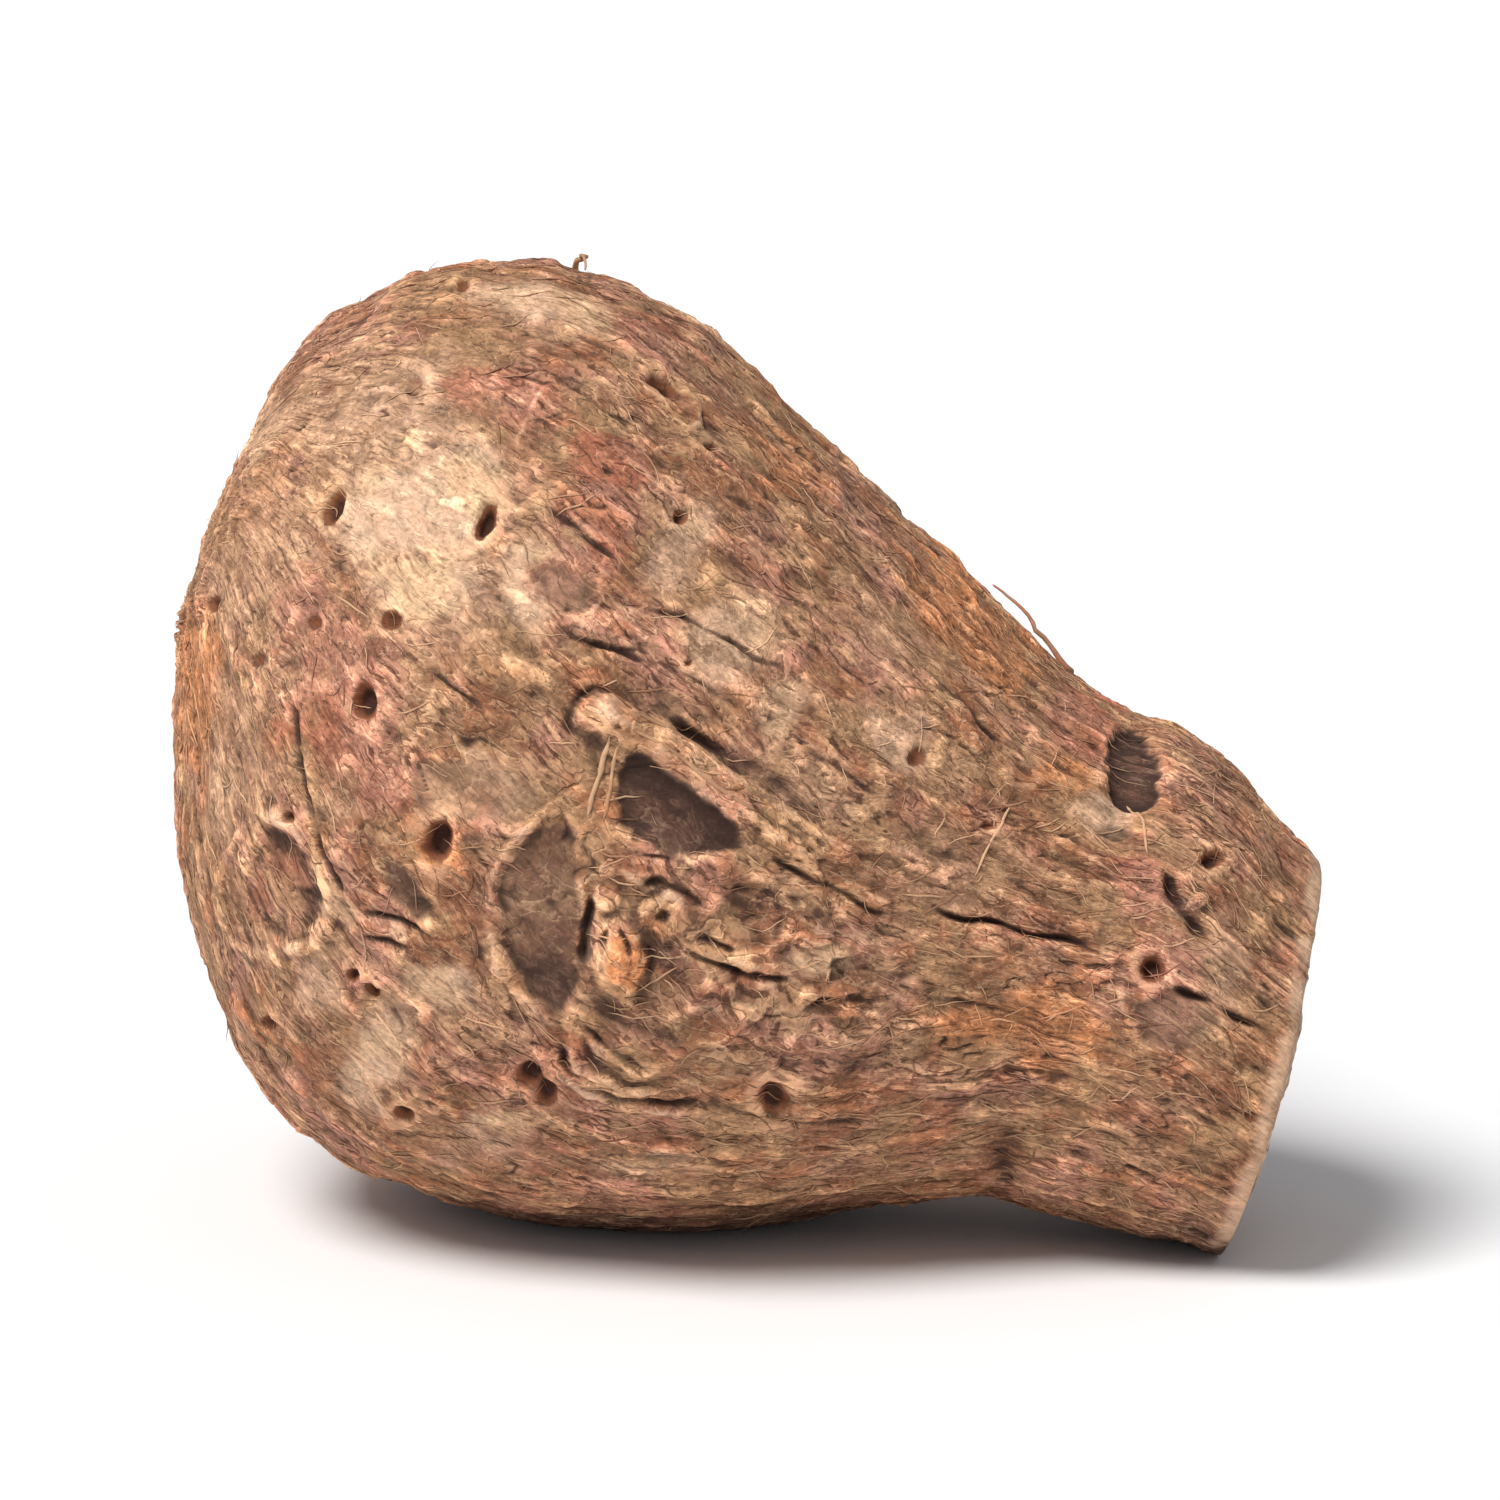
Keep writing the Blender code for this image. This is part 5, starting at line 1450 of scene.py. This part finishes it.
def front_strands():
    """The strands that were measured on the front."""
    paths = np.array([seen_path(row[-1], STRAND_POINTS) for row in FRONT_STRANDS])
    width = np.array([row[0] for row in FRONT_STRANDS])[:, None] * taper(STRAND_POINTS, 6)
    draw = np.random.RandomState(SEED + 6)
    width = width * (1.0 + 0.15 * draw.normal(size=width.shape))
    lift = width * np.array([row[1] for row in FRONT_STRANDS])[:, None]
    tones = np.array([row[2] for row in FRONT_STRANDS])
    return thread_piece("corm_strands", paths[:, 0], paths[:, 1], lift, width, 0.8 * width, tones, 8)


threads += [rootlets(), front_strands()]

# %% [markdown]
# A material is a graph of nodes, and a large graph is hard to read when each node is made and linked by
# hand. So one small class wraps an output socket. Plain sums and products of such wires add Math nodes, and
# one method makes any other node. Colours are mixed with Mix nodes, because a Math node would turn them
# grey.

# %% A short way to write materials


class Wire:
    """One output of a shader node. Sums, differences and products of wires and numbers add Math nodes."""

    def __init__(self, tree, socket=None):
        self.tree = tree
        self.socket = socket

    def node(self, kind, settings, sockets, output=0):
        """Adds a node of this type, with its settings made first, then its sockets' values or wires."""
        made = self.tree.nodes.new("ShaderNode" + kind)
        for name, value in settings.items():
            setattr(made, name, value)
        for name, value in sockets.items():
            if isinstance(value, Wire):
                self.tree.links.new(value.socket, made.inputs[name])
            else:
                made.inputs[name].default_value = value
        return Wire(self.tree, made.outputs[output])

    def maths(self, operation, first, second):
        return self.node("Math", {"operation": operation}, {0: first, 1: second})

    def __add__(self, other):
        return self.maths("ADD", self, other)

    __radd__ = __add__

    def __sub__(self, other):
        return self.maths("SUBTRACT", self, other)

    def __rsub__(self, other):
        return self.maths("SUBTRACT", other, self)

    def __mul__(self, other):
        return self.maths("MULTIPLY", self, other)

    __rmul__ = __mul__


def mask_of(root, name):
    """A number that the mesh holds for each point."""
    return root.node("Attribute", {"attribute_name": name}, {}, "Fac")


def step(low, high, value):
    """0 at low, 1 at high, and a smooth rise between them, or a fall where low is the greater."""
    if low > high:
        return 1.0 - step(high, low, value)
    sockets = {"Value": value, "From Min": low, "From Max": high}
    return value.node("MapRange", {"interpolation_type": "SMOOTHSTEP"}, sockets)


def mix(share, first, second):
    """The first colour where share is 0 and the second where it is 1."""
    settings = {"data_type": "RGBA", "clamp_factor": True}
    return share.node("Mix", settings, {0: share, 6: first, 7: second}, 2)


def laid(base, layers):
    """The base with layers mixed over it. Each has a step's low, high and field, its share and its colour."""
    for low, high, field, share, paint in layers:
        base = mix(step(low, high, field) * share, base, paint)
    return base


def lit(colour_wire, amount):
    """The colour made lighter or darker by this factor."""
    return colour_wire.node("VectorMath", {"operation": "SCALE"}, {0: colour_wire, "Scale": amount})


def divided(vector, spacing):
    """The vector counted in spacings, one number for all axes or one for each."""
    each = spacing if isinstance(spacing, tuple) else (spacing,) * 3
    shares = tuple(1.0 / gap for gap in each)
    return vector.node("VectorMath", {"operation": "MULTIPLY"}, {0: vector, 1: shares})


def noise(vector, spacing, detail=2.0):
    """Noise from about 0.2 to 0.8 with hills one spacing apart, or apart by a spacing for each axis."""
    return vector.node("TexNoise", {}, {"Vector": divided(vector, spacing), "Scale": 1.0, "Detail": detail})


def moved(vector, spacing, amount):
    """The vector pushed to and fro by noise, so that what is drawn with it bends and breaks."""
    sockets = {"Vector": divided(vector, spacing), "Scale": 1.0, "Detail": 2.0}
    cloud = vector.node("TexNoise", {}, sockets, "Color")
    middle = vector.node("VectorMath", {"operation": "SUBTRACT"}, {0: cloud, 1: (0.5, 0.5, 0.5)})
    push = vector.node("VectorMath", {"operation": "SCALE"}, {0: middle, "Scale": amount})
    return vector.node("VectorMath", {"operation": "ADD"}, {0: vector, 1: push})


def slanted(grain, slope):
    """The grain wound round the corm, so that what follows it runs aslant by this slope."""
    along = grain.node("SeparateXYZ", {}, {"Vector": grain}, "X")
    sockets = {"Vector": grain, "Angle": along * (slope / GIRTH)}
    return grain.node("VectorRotate", {"rotation_type": "X_AXIS"}, sockets)


def past_level(field):
    """How far the field is past its last whole number."""
    return field.node("Math", {"operation": "FRACT"}, {0: field})


def colour(red, green, blue):
    """A screen colour, from 0 to 255, as the linear values that a shader takes, by the rule for screens."""
    return (*[((value / 255.0 + 0.055) / 1.055) ** 2.4 for value in (red, green, blue)], 1.0)


# %% [markdown]
# The skin's colour is built up as the real one grew. Cork in several browns comes first, and where it has
# peeled, the pale skin under it shows. Red, orange and dark patches lie over both, with painted shade low on
# the front, on its right and near the ground. Then come thin sheets of cork, each with a pale lip where it
# starts, partly a painted highlight, and painted shade at its foot where it ends, short dashes of fibre in
# two directions, and pale and dark crumbs, the pale ones partly painted highlights. Last come soil and
# painted shade in the hollows, worn ridges, scars whose pits are darkened partly by painted shade, and
# cracks darkened partly by painted shade. The same patterns break the edges of the masks, so that no patch
# looks painted on.

# %% The colours of the skin
CORK_BROWN = colour(142, 96, 68)
CORK_OLIVE = colour(160, 120, 86)
CORK_MAUVE = colour(168, 117, 97)
CORK_RUST = colour(156, 96, 64)
CORK_TAN = colour(190, 146, 108)
UNDER_CREAM = colour(234, 195, 162)
UNDER_YELLOW = colour(230, 192, 144)
UNDER_TAN = colour(206, 158, 126)
UNDER_GREY = colour(200, 160, 134)
RED_SKIN = colour(162, 94, 70)
MAUVE_SKIN = colour(180, 122, 102)
ORANGE_SKIN = colour(188, 122, 78)
# dark skin, also used for the painted shade low on the front, on its right and near the ground
DARK_SKIN_AND_SHADE = colour(92, 62, 52)
PLATE_TAN = colour(156, 124, 98)
PLATE_DARK = colour(100, 68, 58)
# pale fibre, also used for painted highlights on the lips of cork sheets and on specks
PALE_FIBRE_AND_HIGHLIGHT = colour(234, 196, 156)
# dark fibre, also used for painted shade at the foot of each cork sheet
DARK_FIBRE_AND_SHADE = colour(76, 44, 30)
# the colour of soil: dark crumbs of soil, and in the hollows soil with painted shade
SOIL_AND_SHADE = colour(54, 35, 27)
# the darkest middle of a root scar's pit, partly painted shade
PIT_AND_SHADE = colour(48, 23, 15)
PIT_WALL = colour(140, 84, 54)
PIT_RIM = colour(220, 168, 132)
# the dark of a crack, deepened by painted shade
CRACK_AND_SHADE = colour(50, 30, 24)
CUT_PALE = colour(214, 190, 164)
CUT_BROWN = colour(176, 142, 114)
CUT_BARK = colour(174, 134, 106)
CUT_GROOVE = colour(92, 62, 50)
CUT_STRAND = colour(112, 72, 70)


class Look:
    """The patterns that several of the corm's materials share."""

    def __init__(self, root):
        self.grain = root.node("Attribute", {"attribute_name": "grain"}, {}, "Vector")
        metres = root.node("TexCoord", {}, {}, "Object")
        self.place = root.node("VectorMath", {"operation": "SCALE"}, {0: metres, "Scale": 1.0 / MM})
        bent = moved(self.grain, 6.0, 2.2)
        self.streak = noise(bent, (6.5, 0.8, 0.8), 3.0)
        self.sheet = noise(bent, (9.0, 1.9, 1.9), 3.0) * 10.0
        self.past_sheet = past_level(self.sheet)
        self.scrap = noise(moved(bent, 1.2, 0.8), (2.2, 0.9, 0.9), 2.0) * 6.0
        self.past_scrap = past_level(self.scrap)
        self.dash = noise(slanted(moved(bent, 1.6, 0.6), 0.18), (3.4, 0.34, 0.34), 3.0)
        self.cross_dash = noise(slanted(moved(bent, 1.9, 0.8), -0.40), (1.4, 0.26, 0.26), 2.0)
        self.cloud = noise(self.place, 9.0, 2.0)
        self.other_cloud = noise(divided(self.place, (1.0, 1.0, -1.0)), 6.0, 2.0)
        self.mottle = noise(self.place, 1.5, 5.0)
        self.blot = noise(divided(self.place, (1.0, -1.0, 1.0)), 3.4, 2.0)
        self.speck = noise(self.place, 0.36, 3.0)
        self.off_streak, self.off_mottle = self.streak - 0.5, self.mottle - 0.5
        self.off_blot, self.off_speck = self.blot - 0.5, self.speck - 0.5
        self.ragged = self.off_blot * 1.5 + self.off_streak * 1.6 + self.off_mottle * 0.9

    def skin(self, root):
        """The colour of cork and bare skin, with dark patches and painted shade low down, before fibres, soil
        and painted shade in the hollows, and scars.
        """
        bare = mask_of(root, "bare")
        cork = mix(step(0.36, 0.64, self.cloud + self.off_blot * 0.4), CORK_OLIVE, CORK_BROWN)
        browns = (
            (0.42, 0.66, self.other_cloud + self.off_streak * 0.3, 1.0, CORK_MAUVE),
            (0.48, 0.70, self.blot + self.off_streak * 0.5, 0.7, CORK_RUST),
            (0.48, 0.68, 1.0 - self.blot + self.off_streak * 0.6, 0.7, CORK_TAN),
            (0.20, 0.80, mask_of(root, "orange") + self.ragged * 0.5, 0.85, ORANGE_SKIN),
        )
        under = mix(step(0.40, 1.0, bare + self.ragged * 0.3), UNDER_GREY, UNDER_CREAM)
        under_tones = (
            (0.42, 0.62, self.other_cloud, 0.7, UNDER_YELLOW),
            (0.40, 0.65, self.streak + self.off_mottle * 0.8, 0.5, UNDER_TAN),
        )
        reddish = mix(step(0.40, 0.62, self.cloud + self.off_mottle * 0.4), RED_SKIN, MAUVE_SKIN)
        patches_on_it = (
            (0.15, 0.85, bare + self.ragged * 0.55, 0.85, laid(under, under_tones)),
            (0.25, 0.85, mask_of(root, "red") + self.ragged * 0.5, 0.8, reddish),
            (0.30, 0.85, mask_of(root, "dark") + self.ragged * 0.4, 0.9, DARK_SKIN_AND_SHADE),
        )
        return laid(laid(cork, browns), patches_on_it)


def new_material(name):
    """A material, its Principled shader, and a wire to build its nodes from."""
    made = bpy.data.materials.new(name)
    made.use_nodes = True
    shader = made.node_tree.nodes["Principled BSDF"]
    shader.inputs["Specular IOR Level"].default_value = 0.3
    return made, shader, Wire(made.node_tree)


def plug(shader, name, wire):
    """Links a wire to one of the shader's sockets."""
    wire.tree.links.new(wire.socket, shader.inputs[name])


def cut_colour(root, look, strands):
    """The dried cut: a ring of bark, a dark groove, and pale flesh with the dots of cut strands."""
    bark = mask_of(root, "bark") + look.off_mottle * 0.5
    flesh = mix(step(0.30, 0.70, look.cloud + look.off_mottle * 0.5), CUT_BROWN, CUT_PALE)
    flesh_marks = (
        (0.45, 0.75, look.blot + look.off_streak * 0.4, 0.6, CUT_BROWN),
        (0.25, 0.85, strands + look.off_speck * 0.4, 0.75, CUT_STRAND),
    )
    made = mix(step(0.35, 0.65, look.mottle), CUT_BARK, CORK_BROWN)
    over_bark = (
        (-0.2, 0.3, bark, 1.0, laid(flesh, flesh_marks)),
        (-0.35, 0.0, bark, step(0.45, 0.05, bark) * 0.75, CUT_GROOVE),
    )
    uneven = 1.0 + look.off_mottle * 0.7 + look.off_streak * 0.8 + look.off_speck * 0.5
    return lit(laid(made, over_bark), uneven)


def terraced(field, past_last):
    """A field made into terraces, with a short steep rise where each starts."""
    return field - past_last + step(0.0, 0.2, past_last)


def corm_skin():
    """Cork, bare skin and their marks, and inside the cut's rim the cut's own colours."""
    made, shader, root = new_material("corm_skin")
    look = Look(root)
    base = lit(look.skin(root), 1.0 + look.off_mottle * 1.7 + look.off_speck * 0.9)
    # The colour lightened and mixed towards pale fibre: it paints pale fibres, and painted highlights on the
    # lips of cork sheets and on specks.
    pale = mix(step(0.3, 0.7, look.cloud) * 0.35 + 0.15, lit(base, 1.6), PALE_FIBRE_AND_HIGHLIGHT)
    streaky = step(0.44, 0.56, look.other_cloud + look.off_mottle * 0.4)
    on_cork = 1.0 - mask_of(root, "bare") * 0.5
    smooth_part, dark_part = mask_of(root, "smooth"), mask_of(root, "dark")
    dark_share = step(0.1, 0.9, dark_part + look.ragged * 0.3)
    plate = lit(mix(dark_share, PLATE_TAN, PLATE_DARK), 1.0 + look.off_mottle * 1.4 + look.off_streak * 1.4)
    sheets_fibres_shade_and_highlights = (
        # The pale lip where each sheet and scrap of cork starts is partly a painted highlight; the dark at
        # its foot, where it ends, is painted shade.
        (0.22, 0.03, look.past_sheet, 0.6, pale),
        (0.78, 0.97, look.past_sheet, on_cork * 0.6, DARK_FIBRE_AND_SHADE),
        (0.24, 0.03, look.past_scrap, 0.4, pale),
        (0.78, 0.97, look.past_scrap, on_cork * 0.35, DARK_FIBRE_AND_SHADE),
        (0.56, 0.66, look.dash, 0.3 + streaky * 0.45, pale),
        (0.60, 0.68, look.cross_dash, 0.25, pale),
        (0.44, 0.35, look.dash, (0.3 + streaky * 0.5) * on_cork, DARK_FIBRE_AND_SHADE),
        (0.39, 0.31, look.cross_dash, on_cork * 0.22, DARK_FIBRE_AND_SHADE),
        # Pale specks are partly pale flakes and partly painted highlights.
        (0.60, 0.70, look.speck, 0.25, pale),
        (0.39, 0.29, look.speck, on_cork * 0.4, SOIL_AND_SHADE),
        (0.1, 0.9, smooth_part + look.ragged * 0.2, 0.42, plate),
    )
    base = lit(laid(base, sheets_fibres_shade_and_highlights), 1.0 - smooth_part * dark_share * 0.22)
    ridge_part, edge_part = mask_of(root, "ridge"), mask_of(root, "edge")
    base = lit(base, 1.0 + step(0.03, 0.25, ridge_part + look.ragged * 0.05) * 0.30)
    # Here and two lines down, the coarse and the fine hollows are darkened towards the soil colour: partly
    # soil and partly painted shade.
    base = mix(step(0.05, 0.45, look.ragged * 0.10 - ridge_part) * 0.7, base, SOIL_AND_SHADE)
    base = lit(base, 1.0 + step(0.01, 0.10, edge_part + look.ragged * 0.02) * 0.35)
    base = mix(step(0.02, 0.14, look.ragged * 0.03 - edge_part) * 0.6, base, SOIL_AND_SHADE)
    rim, pit = mask_of(root, "scar_rim"), mask_of(root, "scar_pit")
    lines_and_scars = (
        (0.15, 0.90, mask_of(root, "pale_line") + look.ragged * 0.35, 0.62, UNDER_CREAM),
        (0.3, 0.9, rim + look.ragged * 0.45, 0.65, PIT_RIM),
        (0.12, 0.45, pit + look.ragged * 0.2, 0.8, PIT_WALL),
        # The deep middle of each root scar's pit is darkened: partly its own dark and partly painted shade.
        (0.45, 0.95, pit + look.ragged * 0.2, 0.9, PIT_AND_SHADE),
    )
    base = mix(mask_of(root, "cut"), laid(base, lines_and_scars), cut_colour(root, look, rim))
    # Cracks are darkened by how deep they are: partly their own dark and partly painted shade.
    crack = step(0.30, 0.90, mask_of(root, "crack") + look.ragged * 0.2)
    plug(shader, "Base Color", mix(crack * 0.8, base, CRACK_AND_SHADE))
    plug(shader, "Roughness", 0.70 + look.mottle * 0.2 + crack * 0.1)
    height = look.dash * 0.6 + look.cross_dash * 0.4 + look.mottle * 1.6 + look.speck * 0.6
    height = height + terraced(look.sheet, look.past_sheet) * 0.42
    height = height + terraced(look.scrap, look.past_scrap) * 0.22
    bump = root.node("Bump", {}, {"Height": height, "Strength": 0.8, "Distance": 0.17 * MM}, "Normal")
    plug(shader, "Normal", bump)
    return made


def corm_threads():
    """Threads take the colour of the skin under them, and each makes it paler or darker by its own tone."""
    made, shader, root = new_material("corm_threads")
    look = Look(root)
    tone = mask_of(root, "tone")
    tones = (
        (0.35, 1.0, tone, 0.65, PALE_FIBRE_AND_HIGHLIGHT),
        (0.3, 0.0, tone, 0.4, DARK_FIBRE_AND_SHADE),
        (0.58, 0.70, look.speck, 0.4, CORK_BROWN),
    )
    base = laid(lit(look.skin(root), 0.55 + tone * 0.9 + look.off_mottle * 0.8), tones)
    plug(shader, "Base Color", base)
    shader.inputs["Roughness"].default_value = 0.75
    height = look.dash + look.speck
    bump = root.node("Bump", {}, {"Height": height, "Strength": 0.6, "Distance": 0.06 * MM}, "Normal")
    plug(shader, "Normal", bump)
    return made


corm.data.materials.append(corm_skin())
thread_material = corm_threads()
for piece in threads:
    piece.data.materials.append(thread_material)
print("the skin's material has", len(corm.data.materials[0].node_tree.nodes), "nodes")

# %% [markdown]
# The picture is plain: a white floor that runs on past the frame, one large soft light from the upper left
# in front, and a bright even world. The light is a sun with a wide disc, because it doesn't fall off, so
# the floor stays white up to the frame's edge. The camera stands where the photograph was taken from, a
# little above the corm and well away from it, and is turned and zoomed so that the corm fills the frame.

# %% Floor, light and camera
from mathutils import Vector

SENSOR = 36.0
VIEW_WIDTH = 104.0 * MM  # what the frame shows at the corm's distance
EYE = Vector((3.1, -659.1, 172.4)) * MM
AIM = Vector((0.3, 0.0, 32.5)) * MM
FLOOR_HALF = 3.0
FLOOR_DROP = 0.05  # in mm, so that the floor and the resting face don't flicker
FLOOR_COLOUR = (0.93, 0.93, 0.94, 1.0)
SUN_FROM = Vector((-0.46, -0.47, 1.0))
SUN_STRENGTH = 3.12
SUN_COLOUR = (1.0, 0.985, 0.96)
SUN_ANGLE = math.radians(28.0)
WORLD_STRENGTH = 0.34
WORLD_COLOUR = (0.92, 0.95, 1.0, 1.0)
NEAREST_SEEN = 0.01  # in metres


def floor_piece():
    """A wide white floor, which the object isn't part of."""
    corners = FLOOR_HALF / MM * np.array([(-1, -1, 0), (1, -1, 0), (1, 1, 0), (-1, 1, 0)])
    made = linked("floor", mesh_of("floor", corners - (0.0, 0.0, FLOOR_DROP), np.array([(0, 1, 2, 3)]), 4))
    material, shader, _ = new_material("floor_white")
    shader.inputs["Base Color"].default_value = FLOOR_COLOUR
    shader.inputs["Roughness"].default_value = 0.9
    made.data.materials.append(material)
    return made


def sun():
    """The one light: its wide disc makes the shadows soft."""
    data = bpy.data.lights.new("sun", "SUN")
    data.energy = SUN_STRENGTH
    data.angle = SUN_ANGLE
    data.color = SUN_COLOUR
    made = linked("sun", data)
    made.rotation_euler = (-SUN_FROM).to_track_quat("-Z", "Y").to_euler()


def white_world():
    """A pale, even light from all round."""
    world = bpy.data.worlds.new("white_world")
    world.use_nodes = True
    background = world.node_tree.nodes["Background"]
    background.inputs["Color"].default_value = WORLD_COLOUR
    background.inputs["Strength"].default_value = WORLD_STRENGTH
    bpy.context.scene.world = world


def camera():
    """The camera, whose lens shows VIEW_WIDTH at the corm's distance. Gives back the lens in mm."""
    data = bpy.data.cameras.new("camera")
    data.sensor_width = SENSOR
    made = linked("camera", data)
    made.location = EYE
    way = AIM - EYE
    made.rotation_euler = way.to_track_quat("-Z", "Y").to_euler()
    data.lens = SENSOR * way.length / VIEW_WIDTH
    data.clip_start = NEAREST_SEEN
    bpy.context.scene.camera = made
    return data.lens


floor_piece()
sun()
white_world()
bpy.context.scene.view_settings.view_transform = "Standard"
print("lens of", round(camera(), 1), "mm")
